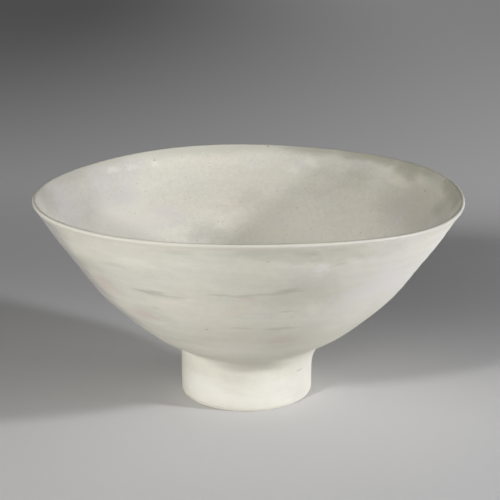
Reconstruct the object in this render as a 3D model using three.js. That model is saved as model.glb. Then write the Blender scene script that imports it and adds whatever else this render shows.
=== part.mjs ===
// A footed bowl of glazed stoneware: a wide, thin, open bowl on a tall upright foot ring.
// Millimetres, +Z up. The origin lies on the bowl's own axis, in the plane that the foot stands on.
// A section is drawn in radius and height for each direction round the bowl, so that the hand-thrown
// lip can wave, the rim can be a little oval and the clay fillet over the foot can thin out.
// Clay, slip and glaze are cut from that one section, so they meet face to face.

import * as THREE from "three";
import { mergeVertices } from "three/addons/utils/BufferGeometryUtils.js";

// Driving dimensions of the bowl, measured over the glaze
const RIM_DIAMETER = 210; // left to right, where the rim is widest
const RIM_OVAL = 5; // how much less the rim measures front to back
const BOWL_HEIGHT = 104; // from the foot's edge to the top of the lip
const LIP_THICKNESS = 2;
const LIP_SLOPE = 57; // degrees above level, where the wall reaches the lip
const UNDERSIDE_SLOPE = 25; // degrees above level, where the wall leaves the foot
const LOWER_FULLNESS = 40.5; // length of the wall curve's handle at the foot
const UPPER_FULLNESS = 38.5; // length of the wall curve's handle at the lip
const WALL_THICKNESS = 5; // just above the foot, thinning to the lip
const FLOOR_THICKNESS = 7; // at the middle of the bowl
const FLOOR_SHARE = 0.125; // share of the wall's curve below which the inside rounds off to the floor

// Driving dimensions of the foot ring, measured over the glaze
const FOOT_DIAMETER = 66.2;
const FOOT_HEIGHT = 25.8; // up to the corner where the bowl's underside leaves it
const FOOT_WALL = 6;
const FOOT_CHAMFER = 0.5; // worn edges of the ring, inside and out
const FOOT_OFFSET = 1; // the ring was set this far to the left of the bowl's axis
const OFFSET_FADE = 12; // height over which the wall takes that offset up
const WELL_DEPTH = 19.3; // from the foot's edge up to the middle of the underside
const BARE_EDGE = 0.8; // height of clay wiped clean of glaze where the foot stands

// The slip that joins the ring to the bowl
const SLIP_LAYER = 0.6;
const FILLET_RIGHT = 21; // radius of the slip smoothed into the corner, on the right
const FILLET_LEFT = 0.8; // and on the left, where it was pared away
const WELL_FILLET = 2; // radius of the slip smoothed into the corner inside the ring

// The glaze coats
const GLAZE = 0.35;
const RIM_BAND_OUTSIDE = 1.5; // how far the light band of the rim comes down outside
const RIM_BAND_INSIDE = 3; // and inside

// The waves that throwing and drying left in the lip, each by the height of its crests
const LIP_TILT = 0.85; // one side of the lip stands higher than the other
const LIP_SADDLE = 1.42; // two sides stand higher than the two between them
const LIP_THREE_WAVES = 0.47;
const LIP_FOUR_WAVES = 0.52;

// Each wave's count in a turn, and a crest's direction in degrees from the right, towards the back
const LIP_WAVES = [
  { count: 1, height: LIP_TILT, crest: 92 },
  { count: 2, height: LIP_SADDLE, crest: 78 },
  { count: 3, height: LIP_THREE_WAVES, crest: 23 },
  { count: 4, height: LIP_FOUR_WAVES, crest: 17 },
];
const WARP_GROWTH = 2.4; // power by which waves and oval grow from the foot to the lip

// How finely the surfaces are cut
const SEGMENTS = 48; // round the axis
const WALL_STEPS = 7;
const FLOOR_STEPS = 3;
const WELL_STEPS = 3;
const LIP_STEPS = 4;
const FILLET_STEPS = 4;

const RIM_RADIUS = RIM_DIAMETER / 2;
const FOOT_RADIUS = FOOT_DIAMETER / 2;
const WELL_RADIUS = FOOT_RADIUS - FOOT_WALL;
const FLOOR_HEIGHT = WELL_DEPTH + FLOOR_THICKNESS;
const RING_OUTSIDE = FOOT_RADIUS - GLAZE;
const RING_INSIDE = WELL_RADIUS + GLAZE;

const { cos, sin, tan, PI } = Math;
const radians = THREE.MathUtils.degToRad;

/** A point of the section: radius and height. */
const at = (radius, height) => new THREE.Vector2(radius, height);

/** The direction that climbs at an angle above level. */
const climbing = (angle) => at(cos(angle), sin(angle));

/** A place on a finished surface: its point and the direction in which the air lies. */
const station = (point, air) => ({ point, air });

/** The point that lies some depth below a finished surface. */
const below = ({ point, air }, depth) => point.clone().addScaledVector(air, -depth);

/** Numbers from start to end in equal steps, both ends included. */
const steps = (start, end, count) =>
  Array.from({ length: count + 1 }, (_, step) => start + ((end - start) * step) / count);

// The middle of the lip's rounding, and the wall's finished curve from the foot's corner up to it
const LIP_CENTRE = at(RIM_RADIUS - LIP_THICKNESS / 2, BOWL_HEIGHT - LIP_THICKNESS / 2);
const FOOT_CORNER = at(FOOT_RADIUS, FOOT_HEIGHT);
const LIP_AIR = climbing(radians(LIP_SLOPE - 90));
const LIP_OUTSIDE = LIP_CENTRE.clone().addScaledVector(LIP_AIR, LIP_THICKNESS / 2);
const wallCurve = new THREE.CubicBezierCurve(
  FOOT_CORNER,
  FOOT_CORNER.clone().addScaledVector(climbing(radians(UNDERSIDE_SLOPE)), LOWER_FULLNESS),
  LIP_OUTSIDE.clone().addScaledVector(climbing(radians(LIP_SLOPE)), -UPPER_FULLNESS),
  LIP_OUTSIDE,
);

/** The finished outside of the wall at a share of the way up its curve. */
function outsideAt(share) {
  const along = wallCurve.getTangent(share);
  return station(wallCurve.getPoint(share), at(along.y, -along.x));
}

/** The finished inside of the wall, across the wall's thickness from the outside. */
function insideAt(share) {
  const outside = outsideAt(share);
  const thickness = THREE.MathUtils.lerp(WALL_THICKNESS, LIP_THICKNESS, share);
  return station(below(outside, thickness), outside.air.clone().negate());
}

/**
 * A dish that lies level at the axis and reaches its edge at the slope given.
 * @param {number} centre height at the axis
 * @param {THREE.Vector2} edge where the dish ends
 * @param {number} slope of the edge, in radians
 * @param {number} side 1 if the air is above the dish, -1 if it is below
 */
function dish(centre, edge, slope, side) {
  const rise = edge.y - centre;
  const power = (tan(slope) * edge.x) / rise;
  return (radius) => {
    const share = radius / edge.x;
    const angle = Math.atan((share ** (power - 1) * power * rise) / edge.x);
    const air = at(-sin(angle), cos(angle)).multiplyScalar(side);
    return station(at(radius, centre + rise * share ** power), air);
  };
}

// Shares of the wall's curve where the coats meet below the lip. The curve's end runs at three
// handle lengths for a whole share.
const shareBelowLip = (distance) => 1 - distance / (3 * UPPER_FULLNESS);
const bandOutside = shareBelowLip(RIM_BAND_OUTSIDE);
const bandInside = shareBelowLip(RIM_BAND_INSIDE);

const floorEdge = insideAt(FLOOR_SHARE);
const floorSlope = Math.atan2(-floorEdge.air.x, floorEdge.air.y);
const floorAt = dish(FLOOR_HEIGHT, floorEdge.point, floorSlope, 1);
const undersideAt = dish(WELL_DEPTH, FOOT_CORNER, radians(UNDERSIDE_SLOPE), -1);

/**
 * The curve that fills a corner, from the foot's side to the bowl's underside.
 * @param {THREE.Vector2} corner where the two surfaces would meet
 * @param {THREE.Vector2} away direction of the underside, away from the foot's side
 * @param {number} radius of the fillet
 */
function fillet(corner, away, radius) {
  const down = at(0, -1);
  const halfAngle = Math.acos(down.dot(away)) / 2;
  const reach = radius / tan(halfAngle);
  const curve = new THREE.QuadraticBezierCurve(
    corner.clone().addScaledVector(down, reach),
    corner,
    corner.clone().addScaledVector(away, reach),
  );
  return curve.getPoints(FILLET_STEPS);
}

/** How far the outer fillet reaches from the corner, in one direction. */
function filletReach(turn) {
  const radius = (FILLET_RIGHT + FILLET_LEFT + (FILLET_RIGHT - FILLET_LEFT) * cos(turn)) / 2;
  return radius / tan(Math.acos(-sin(radians(UNDERSIDE_SLOPE))) / 2);
}

/** The share of the wall's curve where the outer fillet ends. The curve starts like shareBelowLip. */
const filletShare = (turn) => filletReach(turn) / (3 * LOWER_FULLNESS);

/** The fillet outside the ring, some depth below the finished surface, up to the wall's curve. */
function outerFillet(turn, depth) {
  const end = outsideAt(filletShare(turn));
  const climb = ((end.point.x - FOOT_RADIUS) * end.air.x) / -end.air.y;
  const curve = new THREE.QuadraticBezierCurve(
    at(FOOT_RADIUS, FOOT_HEIGHT - filletReach(turn)),
    at(FOOT_RADIUS, end.point.y - climb),
    end.point,
  );
  return steps(0, 1, FILLET_STEPS).map((share) => {
    const along = curve.getTangent(share);
    return below(station(curve.getPoint(share), at(along.y, -along.x)), depth);
  });
}

/** The fillet inside the ring, some depth below the finished surface. */
function innerFillet(depth) {
  const { point, air } = undersideAt(WELL_RADIUS);
  const slope = Math.atan2(air.x, -air.y);
  const corner = at(WELL_RADIUS + depth, point.y + (depth * (1 + sin(slope))) / cos(slope));
  return fillet(corner, climbing(slope).negate(), WELL_FILLET + depth);
}

/** The finished lip, or the clay below it, from outside over the top to inside. */
function lipArc(depth) {
  const start = radians(LIP_SLOPE - 90);
  return steps(start, start + PI, LIP_STEPS).map((angle) =>
    LIP_CENTRE.clone().addScaledVector(climbing(angle), LIP_THICKNESS / 2 - depth),
  );
}

/** The wall's outside from the fillet up to the rim band. */
const outsideLine = (turn, depth) =>
  steps(filletShare(turn), bandOutside, WALL_STEPS)
    .slice(1)
    .map((share) => below(outsideAt(share), depth));

/** The bowl's inside from the rim band down to the axis. */
function insideLine(depth) {
  const wall = steps(FLOOR_SHARE, bandInside, WALL_STEPS).map((share) => below(insideAt(share), depth));
  const floor = steps(0, floorEdge.point.x, FLOOR_STEPS)
    .slice(0, -1)
    .map((radius) => below(floorAt(radius), depth));
  return [...floor, ...wall].reverse();
}

/** The underside within the well, from the axis out to the fillet. */
const wellLine = (depth) =>
  steps(0, innerFillet(GLAZE).at(-1).x, WELL_STEPS)
    .slice(0, -1)
    .map((radius) => below(undersideAt(radius), depth));

/** The height of the ring's sloping top, which leaves room for the slip under the bowl. */
const ringTop = (radius) => below(undersideAt(radius), GLAZE).y - SLIP_LAYER;

// The sections of the pieces, each a closed outline with its material on the left

/** The thrown clay wall, floor and lip. */
const bowlSection = (turn) => [
  ...wellLine(GLAZE),
  innerFillet(GLAZE).at(-1),
  outerFillet(turn, GLAZE).at(-1),
  ...outsideLine(turn, GLAZE),
  ...lipArc(GLAZE),
  ...insideLine(GLAZE),
];

/** The clay ring, standing on its bare chamfered edge. */
function ringSection(turn) {
  const section = [
    at(RING_INSIDE, BARE_EDGE),
    at(RING_INSIDE, FOOT_CHAMFER),
    at(RING_INSIDE + FOOT_CHAMFER, 0),
    at(RING_OUTSIDE - FOOT_CHAMFER, 0),
    at(RING_OUTSIDE, FOOT_CHAMFER),
    at(RING_OUTSIDE, BARE_EDGE),
    outerFillet(turn, GLAZE)[0],
    at(RING_OUTSIDE, ringTop(RING_OUTSIDE)),
    at(RING_INSIDE, ringTop(RING_INSIDE)),
    innerFillet(GLAZE)[0],
  ];
  return [...section, section[0]];
}

/** The slip between the ring's top and the bowl, smoothed into the corners on both sides. */
function slipSection(turn) {
  const section = [
    ...innerFillet(GLAZE).reverse(),
    at(RING_INSIDE, ringTop(RING_INSIDE)),
    at(RING_OUTSIDE, ringTop(RING_OUTSIDE)),
    ...outerFillet(turn, GLAZE),
  ];
  return [...section, section[0]];
}

/** A coat of glaze over the lines that a function of depth gives. */
function coatSection(lineAt) {
  const section = [...lineAt(0), ...lineAt(GLAZE).reverse()];
  return [...section, section[0]];
}

const outsideGlazeSection = (turn) =>
  coatSection((depth) => [
    at(FOOT_RADIUS - depth, BARE_EDGE),
    ...outerFillet(turn, depth),
    ...outsideLine(turn, depth),
  ]);

const rimGlazeSection = () =>
  coatSection((depth) => [
    below(outsideAt(bandOutside), depth),
    ...lipArc(depth),
    below(insideAt(bandInside), depth),
  ]);

/** The inside coat runs through the axis, so its outline starts and ends there. */
const insideGlazeSection = () => [...insideLine(GLAZE).reverse(), ...insideLine(0)];

/** The well's coat does too, and comes down the inside of the ring. */
function wellGlazeSection() {
  const line = (depth) => [
    ...wellLine(depth),
    ...innerFillet(depth).reverse(),
    at(WELL_RADIUS + depth, BARE_EDGE),
  ];
  return [...line(0), ...line(GLAZE).reverse()];
}

/** Takes a point of the section out into space, with the oval, the waves and the foot's offset. */
function placed({ x: radius, y: height }, turn) {
  const reach = THREE.MathUtils.clamp((radius - FOOT_RADIUS) / (RIM_RADIUS - FOOT_RADIUS), 0, 1);
  const warp = reach ** WARP_GROWTH;
  const squeeze = 1 - (warp * (RIM_OVAL / RIM_DIAMETER) * (1 - cos(2 * turn))) / 2;
  const wave = LIP_WAVES.reduce((sum, { count, height: most, crest }) => {
    return sum + most * cos(count * (turn - radians(crest)));
  }, 0);
  const offset = FOOT_OFFSET * (1 - THREE.MathUtils.clamp((height - FOOT_HEIGHT) / OFFSET_FADE, 0, 1));
  return new THREE.Vector3(
    radius * squeeze * cos(turn) - offset,
    radius * squeeze * sin(turn),
    height + warp * wave,
  );
}

/**
 * Turns a section round the axis. A four-sided face is always cut from its lower corner on the far
 * side, so that two pieces that meet there have the very same triangles.
 */
function spun(sectionAt) {
  const turns = steps(0, 2 * PI, SEGMENTS).map((turn, step) => (step < SEGMENTS ? turn : 0));
  const sections = turns.map(sectionAt);
  const geometry = new THREE.LatheGeometry(sections[0], SEGMENTS);
  const rows = sections[0].length;
  const corners = geometry.getAttribute("position");
  const faces = [];
  sections.forEach((section, step) => {
    section.forEach((point, row) => {
      corners.setXYZ(step * rows + row, ...placed(point, turns[step]));
      if (step === SEGMENTS || row === rows - 1) return;
      const here = step * rows + row;
      const there = here + rows;
      const next = section[row + 1];
      const climbs = next.y > point.y || (next.y === point.y && next.x > point.x);
      if (climbs) faces.push(here, there, here + 1, there + 1, here + 1, there);
      else faces.push(here, there, there + 1, here, there + 1, here + 1);
    });
  });
  geometry.setIndex(faces);
  geometry.deleteAttribute("normal");
  geometry.deleteAttribute("uv");
  const merged = mergeVertices(geometry);
  merged.computeVertexNormals();
  return merged;
}

/** A named piece of the bowl with its own material. */
function piece(name, sectionAt, colour, roughness) {
  const material = new THREE.MeshStandardMaterial({ color: colour, roughness, metalness: 0 });
  const mesh = new THREE.Mesh(spun(sectionAt), material);
  mesh.name = name;
  return mesh;
}

const bowl = new THREE.Group();
bowl.add(
  piece("bowl_body", bowlSection, "#d2c8b6", 0.9),
  piece("foot_ring", ringSection, "#d2c8b6", 0.9),
  piece("luting_slip", slipSection, "#cfc1ab", 0.95),
  piece("outside_glaze", outsideGlazeSection, "#cdc8be", 0.42),
  piece("inside_glaze", insideGlazeSection, "#cfcac0", 0.4),
  piece("rim_glaze", rimGlazeSection, "#ddd6c8", 0.38),
  piece("foot_well_glaze", wellGlazeSection, "#c9c3b8", 0.48),
);

export default bowl;
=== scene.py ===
"""A footed bowl of thin-thrown stoneware under an off-white satin glaze.

Metres, +Z up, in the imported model's frame. The origin lies on the bowl's own axis, in the plane that
the foot stands on. A turn is an angle round the axis, from the right towards the back. The surfaces
repeat the model's section, cut much finer, with what the wheel and the hand left in them.
"""

import logging
from dataclasses import dataclass, field
from enum import Enum
from math import acos, atan2, cos, pi, radians, sin, tan
from typing import Mapping, Sequence, Union

import bpy
import numpy as np
from mathutils import Euler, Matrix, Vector


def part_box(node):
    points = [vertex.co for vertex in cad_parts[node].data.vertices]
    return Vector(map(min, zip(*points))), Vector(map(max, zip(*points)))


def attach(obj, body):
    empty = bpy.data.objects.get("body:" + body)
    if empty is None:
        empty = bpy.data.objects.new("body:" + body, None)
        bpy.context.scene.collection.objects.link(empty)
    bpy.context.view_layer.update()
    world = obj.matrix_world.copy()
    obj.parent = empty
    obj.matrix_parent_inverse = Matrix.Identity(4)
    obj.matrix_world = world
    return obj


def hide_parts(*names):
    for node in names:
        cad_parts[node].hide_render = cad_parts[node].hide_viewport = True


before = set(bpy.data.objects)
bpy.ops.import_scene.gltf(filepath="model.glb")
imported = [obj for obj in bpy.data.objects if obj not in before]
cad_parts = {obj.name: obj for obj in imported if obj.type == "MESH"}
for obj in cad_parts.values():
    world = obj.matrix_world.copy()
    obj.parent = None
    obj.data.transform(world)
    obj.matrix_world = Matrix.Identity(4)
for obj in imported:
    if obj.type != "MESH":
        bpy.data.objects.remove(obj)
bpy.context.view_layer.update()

MM = 0.001
SEED = 11
BODY = "root"

Colour = tuple[float, float, float]
Socket = bpy.types.NodeSocket
Value = Union[float, Sequence[float], Socket]

log = logging.getLogger("footed_bowl")


# The bowl's section


@dataclass(frozen=True)
class Line:
    """Stations along a finished surface, for every turn.

    Attributes:
        points: radius and height of each station, (turns, stations, 2).
        air: unit direction from each station to the air, in the same form.
    """

    points: np.ndarray
    air: np.ndarray

    def below(self, depth: Union[float, np.ndarray]) -> np.ndarray:
        """The points that lie some depth below the surface."""
        return self.points - self.air * np.asarray(depth)[..., None]

    def back(self) -> "Line":
        """The same line, walked the other way."""
        return Line(self.points[:, ::-1], self.air[:, ::-1])

    def part(self, first: Union[int, None], last: Union[int, None]) -> "Line":
        """Some of the stations, from first up to last."""
        return Line(self.points[:, first:last], self.air[:, first:last])

    @staticmethod
    def joined(*lines: "Line") -> "Line":
        """One line through several, in their order."""
        points = np.concatenate([line.points for line in lines], axis=1)
        return Line(points, np.concatenate([line.air for line in lines], axis=1))


def smooth(value: np.ndarray) -> np.ndarray:
    """Eases a share from 0 to 1, flat at both ends."""
    share = np.clip(value, 0.0, 1.0)
    return share * share * (3.0 - 2.0 * share)


def bezier(corners: Sequence[np.ndarray], share: np.ndarray) -> tuple[np.ndarray, np.ndarray]:
    """Points and unit tangents of a Bezier curve.

    Args:
        corners: control points, each with two coordinates in its last axis.
        share: how far along the curve each point lies, from 0 to 1.

    Returns:
        The points and the unit tangents.
    """
    along = share[..., None]
    rows = [np.broadcast_to(corner, share.shape + (2,)) for corner in corners]
    while len(rows) > 2:
        rows = [first + (second - first) * along for first, second in zip(rows, rows[1:])]
    tangent = rows[1] - rows[0]
    unit = tangent / np.linalg.norm(tangent, axis=-1, keepdims=True)
    return rows[0] + tangent * along, unit


def right_of(tangent: np.ndarray) -> np.ndarray:
    """The direction to the right of a tangent in the section, where the air lies."""
    return np.stack([tangent[..., 1], -tangent[..., 0]], axis=-1)


def climbing(angle: float) -> np.ndarray:
    """The unit direction that climbs at an angle above level."""
    return np.array([cos(angle), sin(angle)])


@dataclass(frozen=True)
class LipWave:
    """One of the waves that throwing and drying left in the lip.

    Attributes:
        count: crests in one turn.
        height: of the crests.
        crest: a crest's turn, in degrees.
    """

    count: int
    height: float
    crest: float


@dataclass(frozen=True)
class Throwing:
    """What the thrower's fingers left in the wall.

    Attributes:
        depth: half the height of the slow waves up the wall.
        pitch: height between two of their crests.
        crest: height of one crest.
        lip_fade: height below the lip over which they fade.
        foot_fade: height above the foot's corner over which they grow.
        ridge_depth: half the height of the finer rings.
        ridge_pitch: height between two finer rings.
        hand_depth: size of the slow unevenness that has no rings.
        hand_waves: how many waves make up that unevenness.
    """

    depth: float = 0.21 * MM
    pitch: float = 28.7 * MM
    crest: float = 59.4 * MM
    lip_fade: float = 9.0 * MM
    foot_fade: float = 10.0 * MM
    ridge_depth: float = 0.035 * MM
    ridge_pitch: float = 5.3 * MM
    hand_depth: float = 0.055 * MM
    hand_waves: int = 9

    def relief(self, height: np.ndarray, turns: np.ndarray, share: float, seed: int) -> np.ndarray:
        """How far the surface stands out towards the air.

        Args:
            height: of each station, (turns, stations).
            turns: (turns, 1).
            share: how much of the slow waves shows on this side of the wall.
            seed: for the unevenness of the hand.

        Returns:
            The relief of each station.
        """
        draw = np.random.default_rng(seed)
        drift = 0.5 * np.cos(turns - 1.1) + 0.35 * np.cos(2.0 * turns + 0.4)
        slow = self.depth * share * np.cos(2.0 * pi * (height - self.crest) / self.pitch + 0.25 * drift)
        spiral = 2.0 * pi * height / self.ridge_pitch + turns
        waning = 0.6 + 0.4 * np.cos(turns * 2.0 + height * 90.0)
        ridges = self.ridge_depth * np.cos(spiral + 1.4 * drift) * waning
        hand = np.zeros_like(height * turns)
        for _ in range(self.hand_waves):
            count = draw.integers(1, 7)
            climb = draw.uniform(40.0, 200.0)
            hand = hand + np.cos(count * turns + climb * height + draw.uniform(0.0, 2.0 * pi))
        return slow + ridges + hand * self.hand_depth / self.hand_waves**0.5


@dataclass(frozen=True)
class BowlForm:
    """The bowl's finished surfaces, with the driving dimensions of the model's source.

    Slopes are in degrees.

    Attributes:
        rim_diameter: from left to right, where the rim is widest.
        rim_oval: how much less the rim measures from front to back.
        height: from the standing edge to the top of the lip, at the middle of its waves.
        lip_thickness: of the wall at the lip.
        lip_slope: above level, where the wall reaches the lip.
        underside_slope: above level, where the wall leaves the foot.
        lower_fullness: length of the wall curve's handle at the foot.
        upper_fullness: length of its handle at the lip.
        wall_thickness: just above the foot, thinning to the lip.
        floor_thickness: at the middle of the bowl.
        floor_share: share of the wall's curve below which the inside rounds off to the floor.
        foot_diameter: over the glaze.
        foot_height: up to the corner where the underside leaves the foot.
        foot_wall: thickness of the ring.
        foot_chamfer: size of the ring's worn edges.
        foot_offset: how far left of the bowl's axis the ring was set.
        offset_fade: height over which the wall takes that offset up.
        well_depth: from the standing edge up to the middle of the underside.
        bare_edge: height of the clay wiped clean where the foot stands.
        slip_layer: thickness of the slip between ring and bowl.
        fillet_right: radius of the slip in the outer corner, on the right.
        fillet_left: and on the left, where it was pared away.
        well_fillet: radius of the slip in the inner corner.
        glaze: thickness of every coat.
        band_outside: how far the rim's band comes down outside.
        band_inside: and inside.
        warp_growth: power by which waves and oval grow from the foot to the lip.
        waves: of the lip.
        throwing: the marks that the fingers left.
    """

    rim_diameter: float = 210.0 * MM
    rim_oval: float = 5.0 * MM
    height: float = 104.0 * MM
    lip_thickness: float = 2.0 * MM
    lip_slope: float = 57.0
    underside_slope: float = 25.0
    lower_fullness: float = 40.5 * MM
    upper_fullness: float = 38.5 * MM
    wall_thickness: float = 5.0 * MM
    floor_thickness: float = 7.0 * MM
    floor_share: float = 0.125
    foot_diameter: float = 66.2 * MM
    foot_height: float = 25.8 * MM
    foot_wall: float = 6.0 * MM
    foot_chamfer: float = 0.5 * MM
    foot_offset: float = 1.0 * MM
    offset_fade: float = 12.0 * MM
    well_depth: float = 19.3 * MM
    bare_edge: float = 0.8 * MM
    slip_layer: float = 0.6 * MM
    fillet_right: float = 21.0 * MM
    fillet_left: float = 0.8 * MM
    well_fillet: float = 2.0 * MM
    glaze: float = 0.35 * MM
    band_outside: float = 1.5 * MM
    band_inside: float = 3.0 * MM
    warp_growth: float = 2.4
    waves: tuple[LipWave, ...] = (
        LipWave(1, 0.85 * MM, 92.0),
        LipWave(2, 1.42 * MM, 78.0),
        LipWave(3, 0.47 * MM, 23.0),
        LipWave(4, 0.52 * MM, 17.0),
    )
    throwing: Throwing = field(default_factory=Throwing)

    @property
    def rim_radius(self) -> float:
        """Half the rim's width from left to right."""
        return self.rim_diameter / 2.0

    @property
    def foot_radius(self) -> float:
        """Half the foot's width over its glaze."""
        return self.foot_diameter / 2.0

    @property
    def well_radius(self) -> float:
        """Half the width of the space inside the foot."""
        return self.foot_radius - self.foot_wall

    @property
    def slope(self) -> float:
        """The underside's slope in radians."""
        return radians(self.underside_slope)

    @property
    def foot_corner(self) -> np.ndarray:
        """Where the foot's side and the wall would meet without the fillet."""
        return np.array([self.foot_radius, self.foot_height])

    @property
    def lip_centre(self) -> np.ndarray:
        """The middle of the lip's rounding."""
        half = self.lip_thickness / 2.0
        return np.array([self.rim_radius - half, self.height - half])

    @property
    def wall_corners(self) -> list[np.ndarray]:
        """The control points of the wall's outside."""
        lip = self.lip_centre + climbing(radians(self.lip_slope - 90.0)) * self.lip_thickness / 2.0
        return [
            self.foot_corner,
            self.foot_corner + climbing(self.slope) * self.lower_fullness,
            lip - climbing(radians(self.lip_slope)) * self.upper_fullness,
            lip,
        ]

    def share_below_lip(self, distance: float) -> float:
        """The share of the wall's curve that lies some distance below the lip."""
        return 1.0 - distance / (3.0 * self.upper_fullness)

    def relieved(self, line: Line, turns: np.ndarray, share: float, seed: int) -> Line:
        """A line with the throwing marks, which fade towards the lip and the foot."""
        height = line.points[..., 1]
        marks = self.throwing.relief(height, turns[:, None], share, seed)
        fade = smooth((self.height - height) / self.throwing.lip_fade)
        grow = smooth((height - self.foot_height) / self.throwing.foot_fade)
        return Line(line.below(-marks * fade * grow), np.broadcast_to(line.air, line.points.shape))

    def outside_wall(self, turns: np.ndarray, steps: int) -> Line:
        """The wall's outside, from the fillet's end up to the rim's band."""
        start = self.fillet_reach(turns) / (3.0 * self.lower_fullness)
        end = self.share_below_lip(self.band_outside)
        share = start[:, None] + (end - start[:, None]) * np.linspace(0.0, 1.0, steps)
        return self.outside_at(turns, share)

    def outside_at(self, turns: np.ndarray, share: np.ndarray) -> Line:
        """The wall's outside at some shares of its curve, (turns, stations)."""
        points, tangent = bezier(self.wall_corners, share)
        return self.relieved(Line(points, right_of(tangent)), turns, 1.0, SEED)

    def inside_at(self, turns: np.ndarray, share: np.ndarray) -> Line:
        """The wall's inside, across its thickness from the outside."""
        points, tangent = bezier(self.wall_corners, share)
        thickness = self.wall_thickness + (self.lip_thickness - self.wall_thickness) * share
        across = right_of(tangent)
        line = Line(points - across * thickness[..., None], -across)
        return self.relieved(line, turns, -0.55, SEED + 1)

    def inside_wall(self, turns: np.ndarray, steps: int) -> Line:
        """The wall's inside, from the rim's band down to where the floor rounds off."""
        end = self.share_below_lip(self.band_inside)
        share = np.linspace(end, self.floor_share, steps)
        return self.inside_at(turns, np.broadcast_to(share, (len(turns), steps)))

    @staticmethod
    def dish(turns: np.ndarray, radii: np.ndarray, centre: float, edge: np.ndarray, slope: float,
             side: float) -> Line:
        """A dish that lies level at the axis and reaches its edge at a slope.

        Args:
            turns: the turns to make it for.
            radii: of its stations.
            centre: its height at the axis.
            edge: radius and height of its edge.
            slope: of the edge, in radians.
            side: 1 if the air is above the dish, -1 if it is below.

        Returns:
            The stations, in the order of the radii.
        """
        rise = edge[1] - centre
        power = tan(slope) * edge[0] / rise
        share = radii / edge[0]
        angle = np.arctan(share ** (power - 1.0) * power * rise / edge[0])
        air = side * np.stack([-np.sin(angle), np.cos(angle)], axis=-1)
        points = np.stack([radii, centre + rise * share**power], axis=-1)
        shape = (len(turns), len(radii), 2)
        return Line(np.broadcast_to(points, shape), np.broadcast_to(air, shape))

    def floor(self, turns: np.ndarray, steps: int) -> Line:
        """The bowl's floor, from the foot of the wall in to the axis."""
        share = np.array([[self.floor_share]])
        points, tangent = bezier(self.wall_corners, share)
        thickness = self.wall_thickness + (self.lip_thickness - self.wall_thickness) * self.floor_share
        across = right_of(tangent)
        edge = (points - across * thickness)[0, 0]
        slope = atan2(across[0, 0, 0], -across[0, 0, 1])
        radii = np.linspace(edge[0], 0.0, steps)[1:]
        return self.dish(turns, radii, self.well_depth + self.floor_thickness, edge, slope, 1.0)

    def underside(self, turns: np.ndarray, radii: np.ndarray) -> Line:
        """The bowl's underside within the foot."""
        return self.dish(turns, radii, self.well_depth, self.foot_corner, self.slope, -1.0)

    def fillet_reach(self, turns: np.ndarray) -> np.ndarray:
        """How far the outer fillet runs from the corner, for each turn."""
        half = acos(-sin(self.slope)) / 2.0
        middle = (self.fillet_right + self.fillet_left) / 2.0
        swing = (self.fillet_right - self.fillet_left) / 2.0
        return (middle + swing * np.cos(turns)) / tan(half)

    def outer_fillet(self, turns: np.ndarray, steps: int) -> Line:
        """The fillet outside the foot, from the foot's side up to the wall."""
        reach = self.fillet_reach(turns)
        share = reach / (3.0 * self.lower_fullness)
        end, tangent = bezier(self.wall_corners, share)
        radius = np.full_like(reach, self.foot_radius)
        start = np.stack([radius, self.foot_height - reach], axis=-1)
        climb = (end[:, 0] - self.foot_radius) * tangent[:, 1] / tangent[:, 0]
        middle = np.stack([radius, end[:, 1] - climb], axis=-1)
        along = np.broadcast_to(np.linspace(0.0, 1.0, steps), (len(turns), steps))
        points, tangents = bezier([corner[:, None] for corner in (start, middle, end)], along)
        return Line(points, right_of(tangents))

    def foot_side(self, turns: np.ndarray, edge: np.ndarray, steps: int) -> Line:
        """The foot's outside, from a lower edge up to the fillet."""
        top = self.foot_height - self.fillet_reach(turns)
        share = np.linspace(0.0, 1.0, steps)[:-1]
        height = edge[:, None] + (top - edge)[:, None] * share
        points = np.stack([np.full_like(height, self.foot_radius), height], axis=-1)
        return Line(points, np.broadcast_to(climbing(0.0), points.shape))

    def well_fillet_reach(self) -> float:
        """How far the inner fillet runs from its corner."""
        air = self.underside(np.zeros(1), np.array([self.well_radius])).air[0, 0]
        slope = atan2(air[0], -air[1])
        return self.well_fillet / tan(acos(sin(slope)) / 2.0)

    def inner_fillet(self, turns: np.ndarray, steps: int) -> Line:
        """The fillet inside the foot, from the underside down to the ring's inside."""
        reach = self.well_fillet_reach()
        start = self.underside(turns, np.array([self.well_radius - reach]))
        tangent = np.stack([-start.air[0, 0, 1], start.air[0, 0, 0]], axis=-1)
        middle = start.points[0, 0] + tangent * reach / tangent[0]
        end = middle - np.array([0.0, reach])
        along = np.broadcast_to(np.linspace(0.0, 1.0, steps), (len(turns), steps))
        points, tangents = bezier([start.points[0, 0], middle, end], along)
        return Line(points, right_of(tangents))

    def well_side(self, turns: np.ndarray, edge: np.ndarray, steps: int) -> Line:
        """The ring's inside, from the inner fillet down to a lower edge."""
        top = self.inner_fillet(turns, 2).points[0, -1, 1]
        share = np.linspace(0.0, 1.0, steps)[1:]
        height = top + (edge[:, None] - top) * share
        points = np.stack([np.full_like(height, self.well_radius), height], axis=-1)
        return Line(points, np.broadcast_to(-climbing(0.0), points.shape))

    def lip(self, turns: np.ndarray, steps: int) -> Line:
        """The lip's rounding, from outside over the top to inside."""
        start = radians(self.lip_slope - 90.0)
        angle = np.linspace(start, start + pi, steps)
        air = np.stack([np.cos(angle), np.sin(angle)], axis=-1)
        points = self.lip_centre + air * self.lip_thickness / 2.0
        shape = (len(turns), steps, 2)
        return Line(np.broadcast_to(points, shape), np.broadcast_to(air, shape))

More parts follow.
